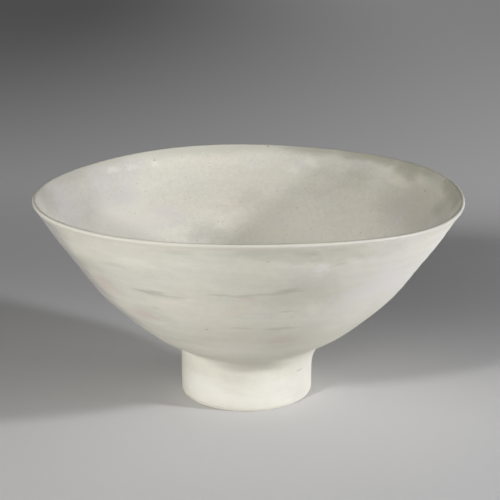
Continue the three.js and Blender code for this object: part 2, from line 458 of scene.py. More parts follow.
    def placed(self, points: np.ndarray, turns: np.ndarray) -> np.ndarray:
        """Takes section points out into space, with the oval, the waves and the foot's offset.

        Args:
            points: radius and height, (turns, stations, 2).
            turns: one for each section.

        Returns:
            The places, (turns, stations, 3).
        """
        radius, height = points[..., 0], points[..., 1]
        turn = turns[:, None]
        reach = np.clip((radius - self.foot_radius) / (self.rim_radius - self.foot_radius), 0.0, 1.0)
        warp = reach**self.warp_growth
        squeeze = 1.0 - warp * (self.rim_oval / self.rim_diameter) * (1.0 - np.cos(2.0 * turn)) / 2.0
        wave = sum(w.height * np.cos(w.count * (turn - radians(w.crest))) for w in self.waves)
        climbed = np.clip((height - self.foot_height) / self.offset_fade, 0.0, 1.0)
        offset = self.foot_offset * (1.0 - climbed)
        across = radius * squeeze
        places = [across * np.cos(turn) - offset, across * np.sin(turn), height + warp * wave]
        return np.stack(places, axis=-1)

    def spot(self, line: Line, turn: float) -> Vector:
        """Where the one station of a line lies in space."""
        return Vector(self.placed(line.points, np.array([turn]))[0, 0])

    def check(self) -> None:
        """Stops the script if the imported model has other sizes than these."""
        low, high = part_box("foot_ring")
        ring = self.foot_diameter - 2.0 * self.glaze
        rim_low, rim_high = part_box("rim_glaze")
        tolerance = 0.2 * MM
        sizes = ((high.x - low.x, ring), (rim_high.x - rim_low.x, self.rim_diameter), (low.z, 0.0))
        if any(abs(packed - here) > tolerance for packed, here in sizes):
            raise ValueError(f"the packed bowl has other sizes than this script: {sizes}")


# Meshes

SHARP_ANGLE = radians(50.0)


@dataclass(frozen=True)
class Fineness:
    """How finely the surfaces are cut. Contact rows lie where two pieces touch, out of sight."""

    turns: int = 360
    wall: int = 112
    floor: int = 30
    foot: int = 20
    fillet: int = 12
    lip: int = 15
    band: int = 5
    well: int = 20
    contact_wall: int = 30
    contact_floor: int = 8
    contact_fillet: int = 7
    contact_lip: int = 7
    edge: int = 6

    def all_turns(self) -> np.ndarray:
        """The turns of every column of faces."""
        return np.arange(self.turns) * 2.0 * pi / self.turns


class Section(Enum):
    """How a piece's outline closes."""

    LOOP = "loop"
    AXIS = "axis"


def grid_faces(turns: int, rows: int, section: Section) -> list[tuple[int, ...]]:
    """The faces of a spun outline, with the air on their outer side.

    Args:
        turns: columns of vertices.
        rows: stations in the outline. On the axis, the first and last are single vertices.
        section: how the outline closes.

    Returns:
        The faces, as vertex numbers.
    """
    column = np.arange(turns)
    following = (column + 1) % turns
    if section is Section.LOOP:
        row = np.arange(rows)[:, None]
        above = (row + 1) % rows
        low, high = row * turns, above * turns
        quads = [low + column, low + following, high + following, high + column]
        return np.stack(quads, axis=-1).reshape(-1, 4).tolist()
    row = np.arange(rows - 3)[:, None]
    low, high = 1 + row * turns, 1 + (row + 1) * turns
    quads = np.stack([low + column, low + following, high + following, high + column], axis=-1)
    last = 1 + (rows - 2) * turns
    first_ring, last_ring = 1 + column, 1 + (rows - 3) * turns + column
    start = np.stack([np.zeros_like(column), 1 + following, first_ring], axis=-1)
    end = np.stack([last_ring, 1 + (rows - 3) * turns + following, np.full_like(column, last)], axis=-1)
    return quads.reshape(-1, 4).tolist() + start.tolist() + end.tolist()


def spun(name: str, form: BowlForm, turns: np.ndarray, outline: Sequence[np.ndarray],
         section: Section) -> bpy.types.Object:
    """A closed piece made by spinning an outline round the axis.

    Args:
        name: of the object.
        form: places the outline in space.
        turns: one for each column.
        outline: stretches of section points, (turns, stations, 2), in their order.
        section: how the outline closes.

    Returns:
        The object, smooth but for its sharp edges, with each vertex's distance below the lip.
    """
    points = np.concatenate(list(outline), axis=1)
    places = form.placed(points, turns).transpose(1, 0, 2)
    below_lip = (form.height - points[..., 1]).T
    rows = len(places)
    if section is Section.AXIS:
        middle = places[1:-1].reshape(-1, 3)
        places = np.concatenate([places[:1, 0], middle, places[-1:, 0]])
        below_lip = np.concatenate([below_lip[:1, 0], below_lip[1:-1].ravel(), below_lip[-1:, 0]])
    mesh = bpy.data.meshes.new(name)
    mesh.from_pydata(places.reshape(-1, 3).tolist(), [], grid_faces(len(turns), rows, section))
    mesh.shade_smooth()
    mesh.set_sharp_from_angle(angle=SHARP_ANGLE)
    depth = mesh.attributes.new("below_lip", "FLOAT", "POINT")
    depth.data.foreach_set("value", below_lip.ravel().astype(np.float32))
    piece = bpy.data.objects.new(name, mesh)
    bpy.context.scene.collection.objects.link(piece)
    return piece


# Node trees


class Nodes:
    """Adds nodes to a tree, each with its settings, values and links in one call."""

    def __init__(self, tree: bpy.types.NodeTree) -> None:
        """Works on one tree, which it doesn't clear."""
        self.tree = tree

    def add(self, kind: str, values: Union[Mapping[Union[str, int], Value], None] = None,
            **settings: object) -> bpy.types.Node:
        """Adds one node.

        Args:
            kind: its type, without the leading ShaderNode.
            values: a constant or another node's output for each named or numbered input.
            settings: the node's own properties.

        Returns:
            The node.
        """
        node = self.tree.nodes.new(kind if kind.startswith("Node") else "ShaderNode" + kind)
        for key, setting in settings.items():
            setattr(node, key, setting)
        for key, value in (values or {}).items():
            self.feed(node.inputs[key], value)
        return node

    def feed(self, socket: Socket, value: Value) -> None:
        """Links an output to a socket, or sets a constant on it."""
        if isinstance(value, bpy.types.NodeSocket):
            self.tree.links.new(value, socket)
        elif socket.type == "RGBA" and len(value) == 3:
            socket.default_value = (*value, 1.0)
        else:
            socket.default_value = value

    def math(self, operation: str, *values: Value, clamp: bool = False) -> Socket:
        """The result of a Math node."""
        node = self.add("Math", dict(enumerate(values)), operation=operation, use_clamp=clamp)
        return node.outputs[0]

    def vector(self, operation: str, *values: Value) -> Socket:
        """The result of a Vector Math node, a number where the operation gives one."""
        node = self.add("VectorMath", dict(enumerate(values)), operation=operation)
        return node.outputs["Value" if operation in ("LENGTH", "DOT_PRODUCT") else "Vector"]

    def noise(self, place: Value, scale: Value, detail: float = 2.0, roughness: float = 0.5) -> Socket:
        """A noise texture at a place."""
        values = {"Vector": place, "Scale": scale, "Detail": detail, "Roughness": roughness}
        return self.add("TexNoise", values).outputs["Fac"]

    def between(self, value: Value, low: Value, high: Value, start: Value = 0.0,
                end: Value = 1.0) -> Socket:
        """Eases a value between two limits into a range from start to end."""
        values = {"Value": value, "From Min": low, "From Max": high, "To Min": start, "To Max": end}
        return self.add("MapRange", values, interpolation_type="SMOOTHSTEP").outputs[0]

    def mix(self, share: Value, first: Value, second: Value) -> Socket:
        """Two colours mixed by a share."""
        node = self.add("Mix", data_type="RGBA")
        for place, value in ((0, share), (6, first), (7, second)):
            self.feed(node.inputs[place], value)
        return node.outputs[2]

    def group(self, tree: bpy.types.NodeTree, values: Mapping[str, Value]) -> bpy.types.Node:
        """Places a node group with its own values."""
        node = self.add("Group", node_tree=tree)
        for key, value in values.items():
            self.feed(node.inputs[key], value)
        return node


def new_material(name: str) -> tuple[bpy.types.Material, Nodes]:
    """An empty material and what adds nodes to it."""
    material = bpy.data.materials.new(name)
    material.use_nodes = True
    material.node_tree.nodes.clear()
    return material, Nodes(material.node_tree)


def seen(nodes: Nodes) -> Socket:
    """Where a ray comes straight from the camera, off a gloss or through glass."""
    rays = nodes.add("LightPath").outputs
    direct = nodes.math("MAXIMUM", rays["Is Camera Ray"], rays["Is Glossy Ray"])
    return nodes.math("MAXIMUM", direct, rays["Is Transmission Ray"])


FLOAT, VECTOR = "NodeSocketFloat", "NodeSocketVector"


class EffectGroup:
    """A shader node group that several finishes share. It is built once, on first use.

    Attributes:
        name: of the group.
        inputs: socket types and defaults by name.
        outputs: socket types by name.
    """

    name: str = ""
    inputs: dict[str, tuple[str, Union[float, Colour]]] = {}
    outputs: dict[str, str] = {}

    def tree(self) -> bpy.types.NodeTree:
        """The group's node tree."""
        found = bpy.data.node_groups.get(self.name)
        if found:
            return found
        tree = bpy.data.node_groups.new(self.name, "ShaderNodeTree")
        for label, (kind, start) in self.inputs.items():
            tree.interface.new_socket(name=label, in_out="INPUT", socket_type=kind).default_value = start
        for label, kind in self.outputs.items():
            tree.interface.new_socket(name=label, in_out="OUTPUT", socket_type=kind)
        nodes = Nodes(tree)
        results = self.wire(nodes, nodes.add("NodeGroupInput").outputs)
        end = nodes.add("NodeGroupOutput")
        for label, result in results.items():
            nodes.feed(end.inputs[label], result)
        return tree

    def wire(self, nodes: Nodes, given: bpy.types.NodeOutputs) -> dict[str, Socket]:
        """Builds the group's inside.

        Args:
            nodes: adds nodes to the group.
            given: the group's inputs.

        Returns:
            What each output carries.
        """
        raise NotImplementedError


class GlazeClouds(EffectGroup):
    """Soft patches where the glaze lies thicker or thinner."""

    name = "glaze_clouds"
    inputs = {"Place": (VECTOR, (0.0, 0.0, 0.0)), "Size": (FLOAT, 0.03), "Fine Size": (FLOAT, 0.003)}
    outputs = {"Broad": FLOAT, "Mottle": FLOAT, "Grain": FLOAT}

    def wire(self, nodes: Nodes, given: bpy.types.NodeOutputs) -> dict[str, Socket]:
        """Broad patches are a little wider than they are high, and the mottle and grain are finer."""
        flat = nodes.vector("MULTIPLY", given["Place"], (1.0, 1.0, 1.5))
        scale = nodes.math("DIVIDE", 1.0, given["Size"])
        fine_scale = nodes.math("DIVIDE", 1.0, given["Fine Size"])
        grain_scale = nodes.math("MULTIPLY", fine_scale, 3.1)
        return {
            "Broad": nodes.between(nodes.noise(flat, scale, 2.5, 0.55), 0.3, 0.7),
            "Mottle": nodes.between(nodes.noise(flat, fine_scale, 2.0, 0.55), 0.3, 0.7),
            "Grain": nodes.noise(given["Place"], grain_scale, 2.0, 0.6),
        }


class WheelLines(EffectGroup):
    """Level bands, brush marks and fine lines that the turning wheel left in clay and glaze."""

    name = "wheel_lines"
    inputs = {"Place": (VECTOR, (0.0, 0.0, 0.0)), "Pitch": (FLOAT, 0.004)}
    outputs = {"Bands": FLOAT, "Brush": FLOAT, "Lines": FLOAT}

    def wire(self, nodes: Nodes, given: bpy.types.NodeOutputs) -> dict[str, Socket]:
        """Each noise is stretched round the bowl and kept short up it."""
        rate = nodes.math("DIVIDE", 1.0, given["Pitch"])
        results = {}
        kinds = (("Bands", 4.0, 0.35, 2.0), ("Brush", 55.0, 1.5, 2.5), ("Lines", 23.0, 2.6, 3.0))
        for label, around, climb, detail in kinds:
            up = nodes.math("MULTIPLY", rate, climb)
            stretch = nodes.add("CombineXYZ", {0: around, 1: around, 2: up}).outputs[0]
            noise = nodes.noise(nodes.vector("MULTIPLY", given["Place"], stretch), 1.0, detail, 0.6)
            results[label] = nodes.between(noise, 0.28, 0.72)
        return results


class Specks(EffectGroup):
    """Small round spots scattered over a surface, such as iron specks or pinholes."""

    name = "specks"
    inputs = {
        "Place": (VECTOR, (0.0, 0.0, 0.0)),
        "Spacing": (FLOAT, 0.003),
        "Radius": (FLOAT, 0.0003),
        "Share": (FLOAT, 0.3),
    }
    outputs = {"Mask": FLOAT}

    def wire(self, nodes: Nodes, given: bpy.types.NodeOutputs) -> dict[str, Socket]:
        """Each cell of the spacing holds one spot, and only a share of the cells shows it."""
        scale = nodes.math("DIVIDE", 1.0, given["Spacing"])
        cells = nodes.add("TexVoronoi", {"Vector": given["Place"], "Scale": scale})
        apart = nodes.math("MULTIPLY", cells.outputs["Distance"], given["Spacing"])
        draw = nodes.add("SeparateXYZ", {0: cells.outputs["Color"]})
        size = nodes.math("MULTIPLY", given["Radius"], nodes.math("ADD", draw.outputs[1], 0.5))
        spot = nodes.between(apart, nodes.math("MULTIPLY", size, 0.4), size, 1.0, 0.0)
        shown = nodes.math("LESS_THAN", draw.outputs[0], given["Share"])
        return {"Mask": nodes.math("MULTIPLY", spot, shown)}


class SoftMark(EffectGroup):
    """One long soft mark, such as a streak in the wash, a rubbed patch, or a patch of painted light or
    shade.
    """

    name = "soft_mark"
    inputs = {
        "Place": (VECTOR, (0.0, 0.0, 0.0)),
        "Centre": (VECTOR, (0.0, 0.0, 0.0)),
        "Lie": (VECTOR, (0.0, 0.0, 0.0)),
        "Reach": (VECTOR, (1.0, 1.0, 1.0)),
        "Strength": (FLOAT, 1.0),
        "Ragged": (FLOAT, 0.35),
    }
    outputs = {"Mask": FLOAT}

    def wire(self, nodes: Nodes, given: bpy.types.NodeOutputs) -> dict[str, Socket]:
        """Measures the place in the mark's own reaches, with a ragged edge."""
        values = {
            "Vector": given["Place"],
            "Location": given["Centre"],
            "Rotation": given["Lie"],
            "Scale": given["Reach"],
        }
        local = nodes.add("Mapping", values, vector_type="TEXTURE").outputs[0]
        rough = nodes.noise(nodes.vector("ADD", local, given["Centre"]), 2.3, 3.0, 0.6)
        ragged = nodes.math("MULTIPLY", nodes.math("SUBTRACT", rough, 0.5), given["Ragged"])
        far = nodes.math("ADD", nodes.vector("LENGTH", local), nodes.math("MULTIPLY", ragged, 2.0))
        near = nodes.between(far, 0.15, 1.0, 1.0, 0.0)
        return {"Mask": nodes.math("MULTIPLY", near, given["Strength"])}


# Finishes


class Tint(Enum):
    """The colours of the marks: streaks and patches in the glaze, and painted light and shade."""

    GREY = (0.40, 0.388, 0.325)
    GREEN = (0.30, 0.292, 0.20)
    BROWN = (0.33, 0.22, 0.13)
    ROSE = (0.62, 0.50, 0.45)
    LILAC = (0.71, 0.675, 0.645)
    # Painted shade, darkening the left of the wall
    ASH = (0.465, 0.445, 0.42)
    CREAM = (0.86, 0.82, 0.72)
    # Painted light, lightening the lower foot
    PAINTED_FOOT_LIGHT = (0.86, 0.835, 0.775)
    # Painted light, lightening the right of the wall
    MIST = (0.79, 0.79, 0.745)


# The colours of specks and pinholes
IRON: Colour = (0.2, 0.16, 0.11)
PINHOLE: Colour = (0.36, 0.32, 0.26)
CLAY_IRON: Colour = (0.16, 0.12, 0.08)

# How finely the wall is searched for a mark's height
SEARCH_STEPS = 400

# Between which places, from left to right of the bowl's axis, the lip's colour changes
LIP_COLOUR_SHIFT = (-35.0 * MM, 0.0)
LIP_DIMMING = (20.0 * MM, 65.0 * MM)
LIP_NARROWING = (25.0 * MM, 58.0 * MM)
LIP_SHADE = (-40.0 * MM, 5.0 * MM)

# Between which places, from front to back, the front passes into the back
FRONT_OF_LIP = (-40.0 * MM, 0.0)
FRONT_OF_BOWL = (-35.0 * MM, 35.0 * MM)

# Between which depths below the lip painted light makes the glaze paler towards the bowl's floor
FLOOR_DEPTHS = (18.0 * MM, 46.0 * MM)


class Side(Enum):
    """The surfaces that a mark can lie on."""

    WALL = "wall"
    INSIDE = "inside"
    FOOT = "foot"


@dataclass(frozen=True)
class Mark:
    """A soft mark: a streak or patch in the glaze, or painted light or shade.

    Attributes:
        side: the surface that it lies on.
        tint: its colour.
        turn: where its middle lies, in degrees.
        height: and at what height of the section.
        length: half its length round the bowl.
        width: half its width.
        strength: how much of the tint shows, from 0 to 1.
        tilt: how far it leans from level, in degrees.
        ragged: how uneven its edge is.
    """

    side: Side
    tint: Tint
    turn: float
    height: float
    length: float
    width: float
    strength: float
    tilt: float
    ragged: float

    def centre(self, form: BowlForm) -> Vector:
        """Where the mark's middle lies in space."""
        turn = radians(self.turn)
        turns = np.array([turn])
        if self.side is Side.FOOT:
            point = np.array([[[form.foot_radius, self.height]]])
            return form.spot(Line(point, point), turn)
        share = np.linspace(0.0, 1.0, SEARCH_STEPS)[None]
        line = (form.outside_at if self.side is Side.WALL else form.inside_at)(turns, share)
        nearest = int(np.argmin(np.abs(line.points[0, :, 1] - self.height)))
        return form.spot(line.part(nearest, nearest + 1), turn)

    def mask(self, nodes: Nodes, place: Socket, form: BowlForm) -> Socket:
        """Wires the mark into a material and returns where it shows."""
        values = {
            "Place": place,
            "Centre": self.centre(form),
            "Lie": Euler((radians(self.tilt), 0.0, radians(self.turn))),
            "Reach": (max(self.length, 8.0 * MM), self.length, self.width),
            "Strength": self.strength,
            "Ragged": self.ragged,
        }
        return nodes.group(SoftMark().tree(), values).outputs["Mask"]


def marks(side: Side, tint: Tint, ragged: float, rows: Sequence[tuple[float, ...]]) -> list[Mark]:
    """Marks of one tint that are equally ragged.

    Args:
        side: the surface that they lie on.
        tint: their colour.
        ragged: how uneven their edges are.
        rows: the turn, height, half length, half width and strength of each, and a tilt or none.
            Its three lengths are in millimetres.

    Returns:
        The marks.
    """
    made = []
    for turn, height, length, width, strength, *tilt in rows:
        lean = tilt[0] if tilt else 0.0
        made.append(Mark(side, tint, turn, height * MM, length * MM, width * MM, strength, lean, ragged))
    return made


@dataclass(frozen=True)
class Stain:
    """A stain that hangs from the lip, where the glaze ran thin.

    Attributes:
        start: the turn that it starts at, in degrees.
        end: the turn that it ends at.
        depth: how far it comes down from the lip.
        strength: how much of the tint shows, from 0 to 1.
        soft: over how many degrees its two ends fade.
    """

    start: float
    end: float
    depth: float
    strength: float
    soft: float = 3.0

    def mask(self, nodes: Nodes, turn: Socket, below: Socket, rough: Socket) -> Socket:
        """Wires the stain into a material.

        Args:
            nodes: adds nodes to the material.
            turn: the turn of each place, in radians.
            below: its distance below the lip.
            rough: noise that makes the stain's lower edge uneven.

        Returns:
            Where the stain shows.
        """
        soft = radians(self.soft)
        opening = nodes.between(turn, radians(self.start) - soft, radians(self.start) + soft)
        closing = nodes.between(turn, radians(self.end) - soft, radians(self.end) + soft, 1.0, 0.0)
        uneven = nodes.math("MULTIPLY_ADD", rough, 0.8 * self.depth, below)
        hanging = nodes.between(uneven, 0.45 * self.depth, self.depth, self.strength, 0.0)
        return nodes.math("MULTIPLY", nodes.math("MULTIPLY", opening, closing), hanging)


@dataclass(frozen=True)
class GlazeFinish:
    """A satin off-white glaze.

    Attributes:
        name: of the material.
        colour: the glaze at its plainest.
        warm: where it lies thin over the clay.
        cool: where it lies thick.
        cloud_size: width of its broad patches.
        fine_size: width of its mottle.
        clouds: how much the warm and cool patches show.
        mottle: how much the mottle lightens and darkens it.
        grain: how much its finest grain does.
        brush: how much the level brush marks do.
        bands: how much the level bands do.
        specks: share of the iron specks that show.
        speck_size: their mean radius.
        speck_depth: how dark they are, from 0 to 1.
        flecks: share of the pale flecks that show.
        roughness: from the satin's smoothest to its dullest.
        gloss: how much it mirrors, where 0.5 is clear glass.
        line_height: height of the fine throwing lines.
        orange_height: height of the glaze's own fine unevenness.
        thin_colour: where it thins towards the lip and lets the clay through.
        thin_share: how much of that colour shows at the lip.
        thin_reach: how far it comes down from the lip.
        lip_colour: of the lip's outer half, in front on the left.
        lip_colour_right: of the same, darker, in front on the right.
        lip_reach: how far that comes down from the lip.
        lip_back: how much of it shows at the back.
        lip_under: how much of it shows below the lip on the right.
        lip_band: between which distances below the lip it thins to that.
        lip_dimming: how far it darkens on the right.
        lip_inner: how much painted shade darkens the lip's inner half in front on the right.
        painted_floor_light: how much painted light makes the glaze paler towards the bowl's floor.
        stains: the stains that hang from its lip.
        marks: the soft marks that it carries.
    """

    name: str
    colour: Colour
    warm: Colour
    cool: Colour
    cloud_size: float = 34.0 * MM
    fine_size: float = 4.0 * MM
    clouds: float = 0.7
    mottle: float = 0.05
    grain: float = 0.05
    brush: float = 0.06
    bands: float = 0.04
    specks: float = 0.05
    speck_size: float = 0.3 * MM
    speck_depth: float = 0.4
    flecks: float = 0.0
    roughness: tuple[float, float] = (0.46, 0.6)
    gloss: float = 0.3
    line_height: float = 0.02 * MM
    orange_height: float = 0.012 * MM
    thin_colour: Colour = (0.585, 0.567, 0.485)
    thin_share: float = 0.0
    thin_reach: float = 7.0 * MM
    lip_colour: Colour = (0.665, 0.634, 0.555)
    lip_colour_right: Colour = (0.615, 0.586, 0.515)
    lip_reach: float = 0.0
    lip_back: float = 0.0
    lip_under: float = 0.15
    lip_band: tuple[float, float] = (1.2 * MM, 1.9 * MM)
    lip_dimming: float = 0.93
    lip_inner: float = 0.0
    painted_floor_light: float = 0.0
    stains: tuple[Stain, ...] = ()
    marks: tuple[Mark, ...] = ()

    def material(self, form: BowlForm) -> bpy.types.Material:
        """Builds the glaze's material.

        Args:
            form: places the marks.

        Returns:
            The material.
        """
        material, nodes = new_material(self.name)
        place = nodes.add("TexCoord").outputs["Object"]
        values = {"Place": place, "Size": self.cloud_size, "Fine Size": self.fine_size}
        clouds = nodes.group(GlazeClouds().tree(), values)
        wheel = nodes.group(WheelLines().tree(), {"Place": place, "Pitch": 4.0 * MM})
        below = nodes.add("Attribute", attribute_name="below_lip").outputs["Fac"]
        colour = self.pooled(nodes, clouds, wheel)
        depth = nodes.add("SeparateXYZ", {0: place}).outputs[1]
        front = nodes.between(depth, *FRONT_OF_BOWL, 1.0, 0.0)
        colour = self.thinned(nodes, colour, below, front, clouds)
        colour = self.lit_and_stained(nodes, colour, place, below)
        colour = self.marked(nodes, colour, place, form)
        colour, pits = self.speckled(nodes, colour, place)
        colour = self.lipped(nodes, colour, place, below)
        dull = nodes.mix(clouds.outputs["Mottle"], (self.roughness[0],) * 3, (self.roughness[1],) * 3)
        values = {"Base Color": colour, "Roughness": dull, "IOR": 1.5, "Specular IOR Level": self.gloss}
        shader = nodes.add("BsdfPrincipled", values)
        self.feel(nodes, shader, place, wheel, pits)
        nodes.add("OutputMaterial", {"Surface": shader.outputs[0]})
        return material

    def pooled(self, nodes: Nodes, clouds: bpy.types.Node, wheel: bpy.types.Node) -> Socket:
        """The glaze's colour where it lies thick or thin, with its mottle and brush marks."""
        cool = nodes.between(clouds.outputs["Broad"], 0.45, 1.0, 0.0, self.clouds)
        warm = nodes.between(clouds.outputs["Broad"], 0.0, 0.55, self.clouds, 0.0)
        colour = nodes.mix(cool, self.colour, self.cool)
        colour = nodes.mix(warm, colour, self.warm)
        shares = (
            (clouds.outputs["Mottle"], self.mottle),
            (clouds.outputs["Grain"], self.grain),
            (wheel.outputs["Brush"], self.brush),
            (wheel.outputs["Bands"], self.bands),
        )
        value: Value = 1.0 - sum(share for _, share in shares) / 2.0
        for pattern, share in shares:
            value = nodes.math("ADD", nodes.math("MULTIPLY", pattern, share), value)
        return nodes.vector("MULTIPLY", colour, value)

    def marked(self, nodes: Nodes, colour: Socket, place: Socket, form: BowlForm) -> Socket:
        """Lays the soft marks over the colour, one tint at a time."""
        for tint in Tint:
            total: Value = 0.0
            for mark in self.marks:
                if mark.tint is tint:
                    total = nodes.math("ADD", total, mark.mask(nodes, place, form), clamp=True)
            if isinstance(total, bpy.types.NodeSocket):
                colour = nodes.mix(total, colour, tint.value)
        return colour

    def speckled(self, nodes: Nodes, colour: Socket, place: Socket) -> tuple[Socket, Socket]:
        """Adds iron specks and pinholes. Returns the colour and the pinholes' mask."""
        values = {"Place": place, "Spacing": 2.6 * MM, "Radius": self.speck_size, "Share": self.specks}
        iron = nodes.group(Specks().tree(), values).outputs["Mask"]
        colour = nodes.mix(nodes.math("MULTIPLY", iron, self.speck_depth), colour, IRON)
        if self.flecks:
            moved = nodes.vector("ADD", place, (0.13, 0.29, 0.41))
            values = {"Place": moved, "Spacing": 2.3 * MM, "Radius": 0.5 * MM, "Share": self.flecks}
            pale = nodes.group(Specks().tree(), values).outputs["Mask"]
            colour = nodes.mix(nodes.math("MULTIPLY", pale, 0.4), colour, Tint.CREAM.value)
        moved = nodes.vector("ADD", place, (0.31, 0.17, 0.23))
        values = {"Place": moved, "Spacing": 2.1 * MM, "Radius": 0.22 * MM, "Share": self.specks * 1.2}
        pits = nodes.group(Specks().tree(), values).outputs["Mask"]
        return nodes.mix(nodes.math("MULTIPLY", pits, 0.35), colour, PINHOLE), pits

    def thinned(self, nodes: Nodes, colour: Socket, below: Socket, front: Socket,
                clouds: bpy.types.Node) -> Socket:
        """Darkens the glaze where it thins towards the lip, more at the back than in front."""
        drift = nodes.math("MULTIPLY", clouds.outputs["Broad"], self.thin_reach * 0.4)
        depth = nodes.math("ADD", below, drift)
        share = nodes.between(front, 0.0, 1.0, self.thin_share, 0.25 * self.thin_share)
        thin = nodes.between(depth, 0.2 * self.thin_reach, self.thin_reach, share, 0.0)
        return nodes.mix(thin, colour, self.thin_colour)

    def lit_and_stained(self, nodes: Nodes, colour: Socket, place: Socket, below: Socket) -> Socket:
        """Paints light on the glaze towards the bowl's floor and hangs the stains from its lip."""
        # Painted light: the glaze made paler towards the bowl's floor
        if self.painted_floor_light:
            gain = nodes.between(below, *FLOOR_DEPTHS, 1.0, 1.0 + self.painted_floor_light)
            colour = nodes.vector("MULTIPLY", colour, gain)
        if not self.stains:
            return colour
        axes = nodes.add("SeparateXYZ", {0: place}).outputs
        turn = nodes.math("ARCTAN2", axes[1], axes[0])
        rough = nodes.math("SUBTRACT", nodes.noise(place, 110.0, 3.0), 0.5)
        total: Value = 0.0
        for stain in self.stains:
            total = nodes.math("MAXIMUM", total, stain.mask(nodes, turn, below, rough))
        return nodes.mix(total, colour, Tint.GREEN.value)

    def lipped(self, nodes: Nodes, colour: Socket, place: Socket, below: Socket) -> Socket:
        """Colours the lip's outer half in front, darker on the right, and paints shade on its inner half.
        """
        if not self.lip_reach:
            return colour
        axes = nodes.add("SeparateXYZ", {0: place}).outputs
        front = nodes.between(axes[1], *FRONT_OF_LIP, 1.0, 0.0)
        level = nodes.vector("NORMALIZE", nodes.vector("MULTIPLY", place, (1.0, 1.0, 0.0)))
        facing = nodes.vector("DOT_PRODUCT", nodes.add("NewGeometry").outputs["Normal"], level)
        on_lip = nodes.between(below, 0.4 * self.lip_reach, self.lip_reach, 1.0, 0.0)
        share = nodes.between(front, 0.0, 1.0, self.lip_back, 1.0)
        under = nodes.between(axes[0], *LIP_NARROWING, 1.0, self.lip_under)
        share = nodes.math("MULTIPLY", share, nodes.between(below, *self.lip_band, 1.0, under))
        outer = nodes.math("MULTIPLY", nodes.between(facing, 0.1, 0.5), share)
        gathered = nodes.mix(nodes.between(axes[0], *LIP_COLOUR_SHIFT), self.lip_colour, self.lip_colour_right)
        dimming = nodes.between(axes[0], *LIP_DIMMING, 1.0, self.lip_dimming)
        gathered = nodes.vector("MULTIPLY", gathered, dimming)
        colour = nodes.mix(outer, colour, gathered)
        # Painted shade on the lip's inner half, in front on the right
        darker = nodes.between(axes[0], *LIP_SHADE, 0.0, self.lip_inner)
        darker = nodes.math("MULTIPLY", darker, nodes.math("MULTIPLY", on_lip, front))
        inner = nodes.math("MULTIPLY", nodes.between(facing, 0.8, 0.3), darker)
        return nodes.mix(inner, colour, Tint.GREY.value)

    def feel(self, nodes: Nodes, shader: bpy.types.Node, place: Socket, wheel: bpy.types.Node,
             pits: Socket) -> None:
        """Bumps the surface with throwing lines, the glaze's fine unevenness and pinholes."""
        orange = nodes.math("MULTIPLY", nodes.noise(place, 560.0, 2.0), self.orange_height)
        lines = nodes.math("MULTIPLY", wheel.outputs["Lines"], self.line_height)
        height = nodes.math("ADD", orange, lines)
        height = nodes.math("SUBTRACT", height, nodes.math("MULTIPLY", pits, 0.12 * MM))
        bump = nodes.add("Bump", {"Height": height, "Strength": 1.0, "Distance": 1.0})
        nodes.feed(shader.inputs["Normal"], bump.outputs[0])


@dataclass(frozen=True)
class ClayFinish:
    """Fired, unglazed stoneware.

    Attributes:
        name: of the material.
        colour: of the body.
        toasted: where the fire has browned it.
        worn: where it has rubbed smooth and pale.
        grain: size of its grain.
        grain_height: height of its grain.
    """

    name: str
    colour: Colour
    toasted: Colour
    worn: Colour
    grain: float = 0.5 * MM
    grain_height: float = 0.05 * MM

    def material(self) -> bpy.types.Material:
        """Builds the clay's material."""
        material, nodes = new_material(self.name)
        place = nodes.add("TexCoord").outputs["Object"]
        values = {"Place": place, "Size": 14.0 * MM, "Fine Size": 2.6 * MM}
        clouds = nodes.group(GlazeClouds().tree(), values)
        wheel = nodes.group(WheelLines().tree(), {"Place": place, "Pitch": 2.0 * MM})
        colour = nodes.mix(clouds.outputs["Broad"], self.colour, self.toasted)
        colour = nodes.mix(nodes.math("MULTIPLY", clouds.outputs["Mottle"], 0.4), colour, self.worn)
        values = {"Place": place, "Spacing": 1.6 * MM, "Radius": 0.22 * MM, "Share": 0.2}
        iron = nodes.group(Specks().tree(), values).outputs["Mask"]
        colour = nodes.mix(nodes.math("MULTIPLY", iron, 0.6), colour, CLAY_IRON)
        grain = nodes.noise(place, 1.0 / self.grain, 3.0, 0.7)
        height = nodes.math("MULTIPLY", grain, self.grain_height)
        lines = nodes.math("MULTIPLY", wheel.outputs["Lines"], self.grain_height)
        bump = nodes.add("Bump", {"Height": nodes.math("ADD", height, lines), "Distance": 1.0})
        dull = nodes.between(grain, 0.2, 0.8, 0.82, 0.95)
        values = {"Base Color": colour, "Roughness": dull, "Normal": bump.outputs[0]}
        shader = nodes.add("BsdfPrincipled", values)
        nodes.add("OutputMaterial", {"Surface": shader.outputs[0]})
        return material
